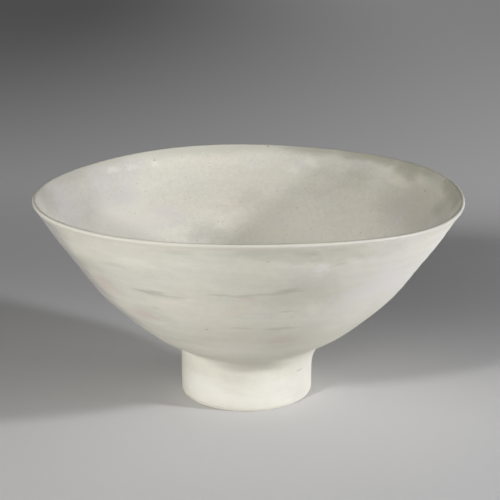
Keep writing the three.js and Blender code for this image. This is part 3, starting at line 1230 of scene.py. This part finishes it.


# The marks, and the glazes that carry them

# The small marks lie where they are seen on the bowl; most are streaks, specks and patches in the
# glaze, but the pale ones below the inside of the lip are painted highlights. Many of the largest are
# painted light and painted shade. Each row gives the turn in degrees, then the height, half length and
# half width in millimetres, the strength, and a tilt where a mark leans.

WALL_MARKS = (
    *marks(Side.WALL, Tint.GREY, 0.6, (
        (-123.5, 75.4, 6.5, 1.1, 0.4),
        (-118.5, 74.9, 9.5, 2.4, 0.48),
        (-111.5, 74.3, 7.0, 1.0, 0.3),
        (-98.0, 77.4, 9.0, 0.9, 0.36),
        (-91.5, 76.7, 8.0, 1.6, 0.36),
        (-86.0, 77.8, 9.0, 1.1, 0.3),
        (-79.0, 79.2, 10.0, 2.4, 0.4, 6.0),
        (-79.0, 57.2, 11.0, 1.3, 0.3),
        (-93.0, 58.0, 9.0, 1.0, 0.24),
        # Painted shade: the rows at turns from -82 to -52 darken the front of the wall below the rim and
        # in its middle.
        (-82.0, 100.5, 34.0, 7.5, 0.38),
        (-66.0, 97.5, 22.0, 7.5, 0.35),
        (-73.0, 77.0, 26.0, 20.0, 0.33),
        (-124.0, 62.0, 16.0, 7.0, 0.16),
        (-76.5, 96.5, 12.0, 5.0, 0.32),
        (-52.0, 98.0, 16.0, 6.0, 0.16),
    )),
    *marks(Side.WALL, Tint.GREY, 0.5, (
        (-66.0, 92.3, 7.0, 1.3, 0.3, 5.0),
        (-78.0, 67.6, 5.0, 0.7, 0.35),
    )),
    *marks(Side.WALL, Tint.GREY, 0.7, (
        (-107.0, 99.0, 11.0, 1.7, 0.24),
        (-128.0, 88.0, 9.0, 1.7, 0.18),
    )),
    # Painted shade: the left of the wall darkened towards its outline, where less light reaches it.
    *marks(Side.WALL, Tint.ASH, 0.4, (
        (-154.0, 99.0, 24.0, 13.0, 0.84),
        (-155.0, 84.0, 24.0, 15.0, 0.92),
        (-154.0, 68.0, 24.0, 15.0, 0.88),
        (-148.0, 53.0, 18.0, 13.0, 0.66),
    )),
    *marks(Side.WALL, Tint.GREEN, 0.7, (
        (-121.0, 66.0, 4.5, 1.8, 0.14),
        (-117.0, 45.0, 12.0, 3.0, 0.1),
    )),
    *marks(Side.WALL, Tint.GREEN, 0.6, (
        (-141.5, 83.5, 14.0, 6.0, 0.13),
    )),
    *marks(Side.WALL, Tint.ROSE, 0.7, (
        (-139.0, 73.0, 13.0, 7.0, 0.48),
        (-127.0, 60.0, 11.0, 6.5, 0.4),
        (-76.0, 49.0, 9.0, 5.0, 0.34),
    )),
    *marks(Side.WALL, Tint.ROSE, 0.8, (
        (-90.5, 74.9, 9.0, 2.0, 0.3),
        (-92.0, 69.0, 13.0, 6.5, 0.2),
    )),
    *marks(Side.WALL, Tint.LILAC, 0.9, (
        (-70.8, 91.0, 5.0, 3.5, 0.9),
    )),
    # Painted light: the row at -46 lightens the right of the wall where the light falls; the row at -165
    # is a painted sheen along the left outline.
    *marks(Side.WALL, Tint.LILAC, 0.6, (
        (-46.0, 78.0, 30.0, 22.0, 0.8),
        (-165.0, 66.0, 22.0, 26.0, 0.5),
    )),
    # Painted light: the right of the wall lightened towards its outline, where the lamps graze it.
    *marks(Side.WALL, Tint.MIST, 0.4, (
        (-25.0, 84.0, 30.0, 26.0, 0.45),
    )),
    *marks(Side.WALL, Tint.CREAM, 0.9, (
        (-120.5, 91.5, 15.0, 3.0, 0.24),
        (-106.5, 92.6, 11.0, 2.4, 0.2),
        (-113.0, 71.0, 12.0, 2.4, 0.2),
        (-105.0, 84.0, 20.0, 7.0, 0.16),
        (-124.0, 55.0, 9.0, 3.0, 0.25),
    )),
    *marks(Side.WALL, Tint.CREAM, 0.8, (
        (-107.5, 73.4, 4.0, 0.9, 0.3),
    )),
    # Painted light: these two broad rows lighten the lower wall at the front and on the right.
    *marks(Side.WALL, Tint.CREAM, 0.5, (
        (-52.0, 56.0, 20.0, 14.0, 0.22),
        (-95.0, 40.0, 30.0, 11.0, 0.35),
    )),
    *marks(Side.WALL, Tint.BROWN, 0.35, (
        (-104.8, 56.4, 0.9, 0.6, 0.5),
        (-85.2, 95.5, 0.8, 0.6, 0.4),
    )),
    *marks(Side.FOOT, Tint.GREEN, 0.2, (
        (-38.2, 17.0, 3.8, 0.7, 0.42),
    )),
    # Painted shadow: the bowl's shadow carried further down the top of the foot, at the front.
    *marks(Side.FOOT, Tint.GREY, 0.25, (
        (-89.0, 23.6, 26.0, 5.0, 0.5),
    )),
    *marks(Side.FOOT, Tint.BROWN, 0.7, (
        (-145.5, 1.5, 5.0, 0.4, 0.4),
        (-130.0, 1.6, 6.0, 0.4, 0.5),
        (-117.0, 1.3, 6.0, 0.4, 0.3),
    )),
    # Painted light: the lower foot lightened on the left and at the front.
    *marks(Side.FOOT, Tint.PAINTED_FOOT_LIGHT, 0.4, (
        (-128.0, 8.0, 32.0, 12.0, 0.56),
        (-80.0, 7.5, 27.0, 12.0, 0.26),
    )),
)
INSIDE_MARKS = (
    # Painted highlights: glints and light on the ridge below the lip, at the back.
    *marks(Side.INSIDE, Tint.CREAM, 0.45, (
        (138.5, 98.8, 7.0, 2.4, 0.5),
        (131.0, 98.0, 6.0, 2.0, 0.4),
        (69.0, 96.8, 7.5, 3.0, 0.6, 16.0),
        (74.5, 92.5, 6.0, 3.4, 0.45, 16.0),
    )),
    # Painted light: the small rows are highlights and light on the ridge below the lip, and the two broad
    # rows light the lower inside.
    *marks(Side.INSIDE, Tint.CREAM, 0.4, (
        (122.3, 97.6, 3.5, 2.4, 0.6),
        (57.0, 97.8, 8.0, 1.6, 0.12),
        (40.0, 97.6, 9.0, 2.2, 0.28),
        (33.5, 94.0, 13.0, 3.2, 0.3),
        (25.0, 98.6, 10.0, 3.2, 0.2, 10.0),
        (143.0, 71.0, 42.0, 17.0, 0.8),
        (75.0, 62.0, 34.0, 14.0, 0.52),
    )),
    # Painted light: the first row on the ridge below the lip, the broad rows across the inside.
    *marks(Side.INSIDE, Tint.CREAM, 0.5, (
        (112.0, 98.5, 14.0, 2.6, 0.12),
        (128.0, 84.0, 26.0, 10.0, 0.3),
        (68.0, 74.0, 22.0, 10.0, 0.24),
        (150.0, 79.0, 22.0, 16.0, 0.42),
    )),
    *marks(Side.INSIDE, Tint.GREY, 0.3, (
        (70.0, 103.0, 18.0, 5.0, 0.42),
    )),
    *marks(Side.INSIDE, Tint.GREY, 0.4, (
        # Painted shade: the first two rows darken the right of the inside, which the rim shades.
        (22.0, 91.0, 44.0, 22.0, 0.34),
        (0.0, 96.0, 24.0, 14.0, 0.3),
        (178.0, 99.0, 20.0, 12.0, 0.4),
        (146.0, 100.0, 50.0, 10.0, 0.24),
        (50.0, 95.5, 16.0, 7.0, 0.24),
        (52.0, 90.0, 16.0, 8.0, 0.28),
    )),
    *marks(Side.INSIDE, Tint.GREY, 0.5, (
        # Painted shadow: the first two rows carry the edge of the rim's shadow further across the inside.
        (110.0, 62.0, 17.0, 8.0, 0.36),
        (89.0, 77.5, 13.0, 8.0, 0.25),
        (64.0, 93.5, 15.0, 8.0, 0.15),
        (5.0, 93.0, 12.0, 7.0, 0.2),
    )),
    *marks(Side.INSIDE, Tint.GREEN, 0.6, (
        (156.0, 86.0, 14.0, 18.0, 0.07),
    )),
    *marks(Side.INSIDE, Tint.BROWN, 0.4, (
        (12.5, 102.6, 1.6, 1.2, 0.5),
    )),
    *marks(Side.INSIDE, Tint.BROWN, 0.35, (
        (19.6, 94.9, 1.0, 0.9, 0.6),
        (122.2, 99.3, 1.0, 0.9, 0.6),
        (83.7, 103.4, 0.9, 0.8, 0.7),
    )),
    *marks(Side.INSIDE, Tint.LILAC, 0.8, (
        (136.0, 86.0, 9.0, 16.0, 0.8),
        (168.0, 94.0, 11.0, 9.0, 0.35),
    )),
    *marks(Side.INSIDE, Tint.LILAC, 0.9, (
        (125.0, 72.0, 16.0, 9.0, 0.7),
    )),
    *marks(Side.INSIDE, Tint.GREEN, 0.9, (
        (151.0, 92.0, 6.5, 9.0, 0.09),
        (124.0, 83.0, 7.0, 8.0, 0.05),
    )),
    *marks(Side.INSIDE, Tint.ROSE, 0.9, (
        (95.0, 74.0, 14.0, 7.0, 0.2),
        (60.0, 84.0, 12.0, 8.0, 0.15),
    )),
    *marks(Side.INSIDE, Tint.ROSE, 0.6, (
        (20.0, 84.0, 34.0, 17.0, 0.2),
    )),
)
LIP_STAINS = (
    Stain(56.0, 80.0, 3.0 * MM, 0.2),
    Stain(38.0, 60.0, 5.0 * MM, 0.4),
    Stain(27.0, 38.0, 9.0 * MM, 0.42),
    Stain(20.0, 27.0, 4.0 * MM, 0.3),
    Stain(-8.0, 12.0, 8.0 * MM, 0.42),
)
OUTSIDE_GLAZE = GlazeFinish(
    "outside_glaze_finish", (0.674, 0.65, 0.563), (0.69, 0.65, 0.553), (0.65, 0.638, 0.583),
    clouds=0.35, brush=0.035, bands=0.045, mottle=0.04, marks=WALL_MARKS,
)
INSIDE_GLAZE = GlazeFinish(
    "inside_glaze_finish", (0.718, 0.688, 0.602), (0.728, 0.695, 0.592), (0.692, 0.671, 0.625),
    fine_size=3.0 * MM, mottle=0.05, grain=0.2, brush=0.02, specks=0.55, speck_depth=0.5, flecks=0.4,
    thin_share=1.0, painted_floor_light=0.17, stains=LIP_STAINS, marks=INSIDE_MARKS,
)
RIM_GLAZE = GlazeFinish(
    "rim_glaze_finish", (0.718, 0.688, 0.602), (0.728, 0.695, 0.592), (0.692, 0.671, 0.625),
    fine_size=3.0 * MM, mottle=0.05, grain=0.2, brush=0.02, thin_share=1.0, lip_reach=0.6 * MM,
    lip_back=0.1, lip_inner=0.9, stains=LIP_STAINS, marks=INSIDE_MARKS,
)
WELL_GLAZE = GlazeFinish("well_glaze_finish", (0.58, 0.55, 0.48), (0.58, 0.53, 0.44), (0.55, 0.54, 0.49))


# The bowl's pieces


@dataclass
class BowlPiece:
    """What the bowl's pieces share.

    Attributes:
        form: the bowl's surfaces.
        fine: how finely they are cut.
    """

    form: BowlForm
    fine: Fineness

    def fix(self, piece: bpy.types.Object, node: str, slot: str, material: bpy.types.Material) -> None:
        """Gives a piece its material and its place in the frame, and reports it."""
        piece.data.materials.append(material)
        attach(piece, BODY)
        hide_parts(node)
        mesh = piece.data
        log.info("%s: %d vertices, %d faces", piece.name, len(mesh.vertices), len(mesh.polygons))

    def contact_outside(self, turns: np.ndarray) -> np.ndarray:
        """The clay's outside, where the outside glaze lies on it."""
        return self.form.outside_wall(turns, self.fine.contact_wall).below(self.form.glaze)

    def contact_fillet(self, turns: np.ndarray) -> np.ndarray:
        """The slip's outside, where the outside glaze lies on it."""
        return self.form.outer_fillet(turns, self.fine.contact_fillet).below(self.form.glaze)

    def contact_lip(self, turns: np.ndarray) -> np.ndarray:
        """The clay of the lip, where the rim glaze lies on it."""
        return self.form.lip(turns, self.fine.contact_lip).below(self.form.glaze)

    def contact_inside(self, turns: np.ndarray) -> np.ndarray:
        """The clay's inside from the rim's band in to the axis, where the inside glaze lies on it."""
        wall = self.form.inside_wall(turns, self.fine.contact_wall)
        floor = self.form.floor(turns, self.fine.contact_floor)
        return Line.joined(wall, floor).below(self.form.glaze)

    def well_radii(self, steps: int) -> np.ndarray:
        """Radii from the axis out to where the inner fillet starts."""
        return np.linspace(0.0, self.form.well_radius - self.form.well_fillet_reach(), steps)[:-1]

    def contact_well(self, turns: np.ndarray) -> np.ndarray:
        """The clay of the underside within the foot, from the axis to the fillet."""
        return self.form.underside(turns, self.well_radii(self.fine.contact_floor)).below(self.form.glaze)

    def contact_well_fillet(self, turns: np.ndarray) -> np.ndarray:
        """The slip's inside, where the well's glaze lies on it."""
        return self.form.inner_fillet(turns, self.fine.contact_fillet).below(self.form.glaze)

    def ring_top(self, radius: float) -> float:
        """The height of the ring's sloping top, which leaves room for the slip."""
        line = self.form.underside(np.zeros(1), np.array([radius]))
        return float(line.below(self.form.glaze)[0, 0, 1]) - self.form.slip_layer

    @staticmethod
    def at(turns: np.ndarray, *corners: tuple[float, float]) -> np.ndarray:
        """The same few section points for every turn."""
        return np.broadcast_to(np.array(corners), (len(turns), len(corners), 2))

    @property
    def ring_sides(self) -> tuple[float, float]:
        """The radii of the clay ring's inside and outside."""
        return self.form.well_radius + self.form.glaze, self.form.foot_radius - self.form.glaze


@dataclass
class ThrownBowl(BowlPiece):
    """The clay wall, floor and lip, thrown in one piece."""

    finish: ClayFinish = ClayFinish(
        "bowl_clay_finish", (0.65, 0.58, 0.47), (0.58, 0.49, 0.37), (0.70, 0.64, 0.53)
    )

    def build(self) -> None:
        """Builds the clay bowl under its coats."""
        turns = self.fine.all_turns()
        outline = [
            self.contact_well(turns),
            self.contact_well_fillet(turns)[:, :1],
            self.contact_fillet(turns)[:, -1:],
            self.contact_outside(turns)[:, 1:],
            self.contact_lip(turns),
            self.contact_inside(turns),
        ]
        piece = spun("clay_bowl", self.form, turns, outline, Section.AXIS)
        self.fix(piece, "bowl_body", "bowl_clay", self.finish.material())


@dataclass
class FootRing(BowlPiece):
    """The clay ring that the bowl stands on, wiped bare where it stands.

    Attributes:
        finish: the bare clay.
    """

    finish: ClayFinish = ClayFinish(
        "foot_clay_finish", (0.70, 0.665, 0.58), (0.64, 0.60, 0.51), (0.78, 0.745, 0.665)
    )

    def corner(self, turns: np.ndarray, radius: float, side: float) -> np.ndarray:
        """A worn lower edge of the ring.

        Args:
            turns: the turns to make it for.
            radius: of the ring's side.
            side: 1 for the outside, -1 for the inside.

        Returns:
            The points, walked from the standing face up to the side.
        """
        soft = self.form.foot_chamfer
        angle = np.linspace(0.0, pi / 2.0, self.fine.edge)
        across = radius - side * soft * (1.0 - np.sin(angle))
        points = np.stack([across, soft * (1.0 - np.cos(angle))], axis=-1)
        return np.broadcast_to(points, (len(turns), self.fine.edge, 2))

    def build(self) -> None:
        """Builds the ring from its worn standing edge up to the slip."""
        turns = self.fine.all_turns()
        inside, outside = self.ring_sides
        fillet = self.contact_fillet(turns)[:, :1]
        well = self.contact_well_fillet(turns)[:, -1:]
        outline = [
            self.corner(turns, inside, -1.0)[:, ::-1],
            self.corner(turns, outside, 1.0),
            fillet,
            self.at(turns, (outside, self.ring_top(outside)), (inside, self.ring_top(inside))),
            well,
        ]
        piece = spun("clay_foot", self.form, turns, outline, Section.LOOP)
        self.fix(piece, "foot_ring", "foot_clay", self.finish.material())


@dataclass
class SlipJoint(BowlPiece):
    """The slip that joins the ring to the bowl, smoothed into both corners."""

    finish: ClayFinish = ClayFinish(
        "slip_finish", (0.62, 0.55, 0.45), (0.55, 0.46, 0.35), (0.68, 0.62, 0.52), 0.3 * MM, 0.03 * MM
    )

    def build(self) -> None:
        """Builds the layer of slip and its two fillets."""
        turns = self.fine.all_turns()
        inside, outside = self.ring_sides
        outline = [
            self.contact_well_fillet(turns),
            self.at(turns, (inside, self.ring_top(inside)), (outside, self.ring_top(outside))),
            self.contact_fillet(turns),
        ]
        piece = spun("slip_joint", self.form, turns, outline, Section.LOOP)
        self.fix(piece, "luting_slip", "slip", self.finish.material())


@dataclass
class GlazeCoats(BowlPiece):
    """The four coats of glaze, which show everywhere but on the standing edge.

    Attributes:
        outside: the finish over the wall and the foot's outside.
        inside: the finish inside the bowl.
        rim: the lighter glaze over the lip.
        well: the glaze inside the foot.
        edge_wander: how far the wiped edge of the glaze wanders up and down.
        edge_bead: height over which the glaze thins out to that edge.
    """

    outside: GlazeFinish = OUTSIDE_GLAZE
    inside: GlazeFinish = INSIDE_GLAZE
    rim: GlazeFinish = RIM_GLAZE
    well: GlazeFinish = WELL_GLAZE
    edge_wander: float = 0.3 * MM
    edge_bead: float = 0.5 * MM

    def wiped_edge(self, turns: np.ndarray) -> np.ndarray:
        """The height of the glaze's lower edge, which the sponge left a little uneven."""
        draw = np.random.default_rng(SEED + 2)
        wander = np.zeros_like(turns)
        for count in (2, 3, 5, 8, 13, 21):
            wander += np.cos(count * turns + draw.uniform(0.0, 2.0 * pi)) / count**0.5
        return self.form.bare_edge + self.edge_wander * (1.0 + wander / 3.0) / 2.0

    def bead(self, turns: np.ndarray, radius: float, air: float) -> Line:
        """The rounded lower edge of a coat on the foot.

        Args:
            turns: the turns to make it for.
            radius: of the finished side.
            air: 1 if the air is outside the ring, -1 if it is inside.

        Returns:
            The stations from the clay up to the finished side.
        """
        angle = np.linspace(0.15 * pi, 0.5 * pi, self.fine.edge)[:-1]
        depth = self.form.glaze * (1.0 - np.sin(angle))
        height = self.wiped_edge(turns)[:, None] + self.edge_bead * (1.0 - np.cos(angle))
        across = np.broadcast_to(radius - air * depth, height.shape)
        direction = np.broadcast_to(climbing(0.0) * air, height.shape + (2,))
        return Line(np.stack([across, height], axis=-1), direction)

    def build(self) -> None:
        """Builds the four coats."""
        self.build_outside()
        self.build_inside()
        self.build_rim()
        self.build_well()

    def build_outside(self) -> None:
        """The coat over the wall, the fillet and the foot's outside."""
        form, fine, turns = self.form, self.fine, self.fine.all_turns()
        edge = self.wiped_edge(turns)
        finished = Line.joined(
            self.bead(turns, form.foot_radius, 1.0),
            form.foot_side(turns, edge + self.edge_bead, fine.foot),
            form.outer_fillet(turns, fine.fillet),
            form.outside_wall(turns, fine.wall).part(1, None),
        )
        foot = np.stack([np.full_like(edge, form.foot_radius - form.glaze), edge], axis=-1)[:, None]
        hidden = [self.contact_outside(turns)[:, :0:-1], self.contact_fillet(turns)[:, ::-1], foot]
        piece = spun("glaze_outside", form, turns, [finished.points, *hidden], Section.LOOP)
        self.fix(piece, "outside_glaze", "outside_glaze", self.outside.material(form))

    def build_inside(self) -> None:
        """The coat over the inside of the wall and the floor."""
        form, fine, turns = self.form, self.fine, self.fine.all_turns()
        finished = Line.joined(form.inside_wall(turns, fine.wall), form.floor(turns, fine.floor))
        outline = [self.contact_inside(turns)[:, ::-1], finished.points]
        piece = spun("glaze_inside", form, turns, outline, Section.AXIS)
        self.fix(piece, "inside_glaze", "inside_glaze", self.inside.material(form))

    def build_rim(self) -> None:
        """The light band over the lip."""
        form, fine, turns = self.form, self.fine, self.fine.all_turns()
        share_out = np.linspace(form.share_below_lip(form.band_outside), 1.0, fine.band)[:-1]
        share_in = np.linspace(1.0, form.share_below_lip(form.band_inside), fine.band)[1:]
        finished = Line.joined(
            form.outside_at(turns, np.broadcast_to(share_out, (len(turns), fine.band - 1))),
            form.lip(turns, fine.lip),
            form.inside_at(turns, np.broadcast_to(share_in, (len(turns), fine.band - 1))),
        )
        outside = self.contact_outside(turns)[:, -1:]
        inside = self.contact_inside(turns)[:, :1]
        outline = [finished.points, inside, self.contact_lip(turns)[:, ::-1], outside]
        piece = spun("glaze_rim", form, turns, outline, Section.LOOP)
        self.fix(piece, "rim_glaze", "rim_glaze", self.rim.material(form))

    def build_well(self) -> None:
        """The coat inside the foot, down to the wiped edge."""
        form, fine, turns = self.form, self.fine, self.fine.all_turns()
        edge = self.wiped_edge(turns)
        finished = Line.joined(
            form.underside(turns, self.well_radii(fine.well)),
            form.inner_fillet(turns, fine.fillet),
            form.well_side(turns, edge + self.edge_bead, fine.foot).part(0, -1),
            self.bead(turns, form.well_radius, -1.0).back(),
        )
        foot = np.stack([np.full_like(edge, form.well_radius + form.glaze), edge], axis=-1)[:, None]
        hidden = [foot, self.contact_well_fillet(turns)[:, ::-1], self.contact_well(turns)[:, ::-1]]
        piece = spun("glaze_well", form, turns, [finished.points, *hidden], Section.AXIS)
        self.fix(piece, "foot_well_glaze", "foot_well_glaze", self.well.material(form))


# The studio


@dataclass(frozen=True)
class SoftLight:
    """A square softbox that faces the bowl.

    Attributes:
        name: of the lamp.
        azimuth: its direction from the bowl, in degrees from the right towards the back.
        elevation: above the floor, in degrees.
        distance: from the bowl's middle.
        side: of the square.
        power: in watts.
        colour: of its light.
    """

    name: str
    azimuth: float
    elevation: float
    distance: float
    side: float
    power: float
    colour: Colour = (1.0, 1.0, 1.0)

    def place(self, target: Vector) -> None:
        """Hangs the lamp, facing the target."""
        azimuth, elevation = radians(self.azimuth), radians(self.elevation)
        away = Vector((cos(azimuth) * cos(elevation), sin(azimuth) * cos(elevation), sin(elevation)))
        data = bpy.data.lights.new(self.name, "AREA")
        data.shape, data.size = "SQUARE", self.side
        data.energy, data.color = self.power, self.colour
        lamp = bpy.data.objects.new(self.name, data)
        lamp.visible_camera = False
        lamp.location = target + away * self.distance
        lamp.rotation_euler = away.to_track_quat("Z", "Y").to_euler()
        bpy.context.scene.collection.objects.link(lamp)


@dataclass
class Studio:
    """The floor with its sweep, the lights and the camera.

    Attributes:
        lights: the softboxes.
        aim_height: how high above the floor the softboxes face.
        ambient: strength of the light from all round.
        air: what lies beyond the paper.
        paper: the floor in front.
        shade_left: painted shade on the floor beside and behind the bowl, on the left.
        shade_right: the same on the right, where it also darkens the bowl's shadow.
        low_left: the backdrop where it starts, on the left.
        low_right: the same on the right.
        top_left: the backdrop's top, on the left, where painted shade makes it darkest.
        top_right: the same on the right.
        darkening_left: between which distances behind the bowl's axis painted shade darkens the floor, on
            the left.
        darkening_right: the same on the right.
        lightening: between which distances behind the axis painted light makes the whole floor lighter
            again.
        lightening_gain: by what factor.
        far_lightening: the same on the right alone, further behind.
        far_gain: by what factor.
        floor_sides: how far from the middle the floor's left and right colours are reached.
        backdrop_sides: the same of the backdrop's.
        backdrop_start: how far behind the bowl's axis the backdrop's low colours lie.
        backdrop_end: how far behind it the top ones lie.
        glow_start: where the backdrop's own light starts to take over from the floor's colour.
        glow_end: where it has taken over.
        lens: focal length in millimetres for a sensor of 36 mm.
        eye: where the camera stands.
        pitch: how far it looks down, in degrees.
        floor_reach: how far the floor runs to each side and to the front.
        sweep_start: how far behind the bowl the floor starts to curve up.
        sweep_radius: of that curve.
        sweep_height: of the backdrop's top.
        sweep_steps: into how many stations the curve is cut.
    """

    lights: tuple[SoftLight, ...] = (
        SoftLight("key_right", -13.8, 21.5, 1.4, 0.12, 11.9, (0.97, 0.985, 1.04)),
        SoftLight("key_left", 230.4, 26.0, 1.4, 0.14, 10.2),
        SoftLight("low_front", 243.0, 4.0, 0.8, 0.3, 2.0),
        SoftLight("low_right", -8.0, 4.0, 0.8, 0.3, 3.0, (0.97, 0.985, 1.04)),
    )
    aim_height: float = 0.06
    ambient: float = 0.02
    air: Colour = (0.16, 0.16, 0.16)
    paper: Colour = (0.602, 0.595, 0.586)
    shade_left: Colour = (0.456, 0.453, 0.446)
    shade_right: Colour = (0.425, 0.419, 0.407)
    low_left: Colour = (0.22, 0.22, 0.22)
    low_right: Colour = (0.33, 0.33, 0.33)
    top_left: Colour = (0.074, 0.074, 0.074)
    top_right: Colour = (0.21, 0.21, 0.21)
    darkening_left: tuple[float, float] = (-0.06, 0.26)
    darkening_right: tuple[float, float] = (-0.06, 0.14)
    lightening: tuple[float, float] = (0.145, 0.34)
    lightening_gain: float = 1.14
    far_lightening: tuple[float, float] = (0.28, 0.425)
    far_gain: float = 1.3
    floor_sides: float = 0.13
    backdrop_sides: float = 0.4
    backdrop_start: float = 0.29
    backdrop_end: float = 2.2
    glow_start: float = 0.25
    glow_end: float = 0.48
    lens: float = 88.51
    eye: tuple[float, float, float] = (0.000727, -0.58781, 0.24497)
    pitch: float = 16.324
    floor_reach: float = 3.0
    sweep_start: float = 2.5
    sweep_radius: float = 0.8
    sweep_height: float = 2.6
    sweep_steps: int = 24

    def build(self) -> None:
        """Sets up the whole studio."""
        self.build_floor()
        self.build_world()
        for light in self.lights:
            light.place(Vector((0.0, 0.0, self.aim_height)))
        self.build_camera()
        bpy.context.scene.view_settings.view_transform = "Standard"

    def build_floor(self) -> None:
        """A floor that curves up into a backdrop behind the bowl."""
        angle = np.linspace(0.0, pi / 2.0, self.sweep_steps)
        back = self.sweep_start + self.sweep_radius * np.sin(angle)
        up = self.sweep_radius * (1.0 - np.cos(angle))
        rows = [(-self.floor_reach, 0.0), *zip(back, up), (back[-1], self.sweep_height)]
        places = [(side * self.floor_reach, y, z) for y, z in rows for side in (-1.0, 1.0)]
        faces = [(2 * row, 2 * row + 1, 2 * row + 3, 2 * row + 2) for row in range(len(rows) - 1)]
        mesh = bpy.data.meshes.new("floor")
        mesh.from_pydata(places, [], faces)
        mesh.shade_smooth()
        floor = bpy.data.objects.new("floor", mesh)
        bpy.context.scene.collection.objects.link(floor)
        mesh.materials.append(self.floor_material())

    def floor_material(self) -> bpy.types.Material:
        """Pale grey paper that keeps the bowl's shadows, and falls off to a darker backdrop.

        Its colours change with the place on the paper alone. Painted shade darkens it behind the bowl,
        more steeply on the right, where the bowl's shadow falls, and painted light makes it lighter again
        further back. The backdrop's own light is painted darker towards its top and its left.
        """
        material, nodes = new_material("floor_paper")
        place = nodes.add("SeparateXYZ", {0: nodes.add("TexCoord").outputs["Object"]}).outputs
        across, behind = place[0], place[1]
        right = nodes.between(across, -self.floor_sides, self.floor_sides)
        # Painted shade behind the bowl, steeper on the right, where the bowl's shadow falls
        paper = nodes.mix(nodes.between(behind, *self.darkening_left), self.paper, self.shade_left)
        paper_right = nodes.mix(nodes.between(behind, *self.darkening_right), self.paper, self.shade_right)
        paper = nodes.mix(right, paper, paper_right)
        # Painted light, which makes the floor lighter again further back
        gain = nodes.between(behind, *self.lightening, 1.0, self.lightening_gain)
        paper = nodes.vector("MULTIPLY", paper, gain)
        far_gain = nodes.between(right, 0.0, 1.0, 1.0, self.far_gain)
        gain = nodes.between(behind, *self.far_lightening, 1.0, far_gain)
        paper = nodes.vector("MULTIPLY", paper, gain)
        # The backdrop's own light, painted darker towards its top and its left
        positive = nodes.math("MAXIMUM", behind, self.backdrop_start / 2.0)
        ratio = nodes.math("LOGARITHM", positive, 10.0)
        limits = (float(np.log10(self.backdrop_start)), float(np.log10(self.backdrop_end)))
        low = nodes.between(ratio, *limits, 1.0, 0.0)
        side = nodes.between(across, -self.backdrop_sides, self.backdrop_sides)
        backdrop = nodes.mix(low, self.top_left, self.low_left)
        backdrop = nodes.mix(side, backdrop, nodes.mix(low, self.top_right, self.low_right))
        fade = nodes.between(behind, self.glow_start, self.glow_end)
        direct = seen(nodes)
        shown = nodes.math("MULTIPLY", fade, direct)
        colour = nodes.mix(shown, nodes.mix(direct, self.paper, paper), (0.0, 0.0, 0.0))
        values = {"Base Color": colour, "Roughness": 1.0, "Specular IOR Level": 0.0}
        shader = nodes.add("BsdfPrincipled", values)
        nodes.feed(shader.inputs["Emission Color"], backdrop)
        nodes.feed(shader.inputs["Emission Strength"], shown)
        nodes.add("OutputMaterial", {"Surface": shader.outputs[0]})
        return material

    def build_world(self) -> None:
        """A plain grey air beyond the paper, which gives hardly any light itself."""
        world = bpy.data.worlds.new("studio_air")
        bpy.context.scene.world = world
        world.use_nodes = True
        world.node_tree.nodes.clear()
        nodes = Nodes(world.node_tree)
        strength = nodes.between(seen(nodes), 0.0, 1.0, self.ambient, 1.0)
        sky = nodes.add("Background", {"Color": self.air, "Strength": strength})
        nodes.add("OutputWorld", {"Surface": sky.outputs[0]})

    def build_camera(self) -> None:
        """The camera at the photograph's viewing angle."""
        data = bpy.data.cameras.new("camera")
        data.lens, data.sensor_width = self.lens, 36.0
        camera = bpy.data.objects.new("camera", data)
        camera.location = self.eye
        camera.rotation_euler = (radians(90.0 - self.pitch), 0.0, 0.0)
        bpy.context.scene.collection.objects.link(camera)
        bpy.context.scene.camera = camera


def main() -> None:
    """Builds the bowl's pieces in the order in which they were made, then the studio."""
    logging.basicConfig(level=logging.INFO, format="%(name)s: %(message)s")
    form, fine = BowlForm(), Fineness()
    form.check()
    ThrownBowl(form, fine).build()
    FootRing(form, fine).build()
    SlipJoint(form, fine).build()
    GlazeCoats(form, fine).build()
    Studio().build()


if __name__ == "__main__":
    main()
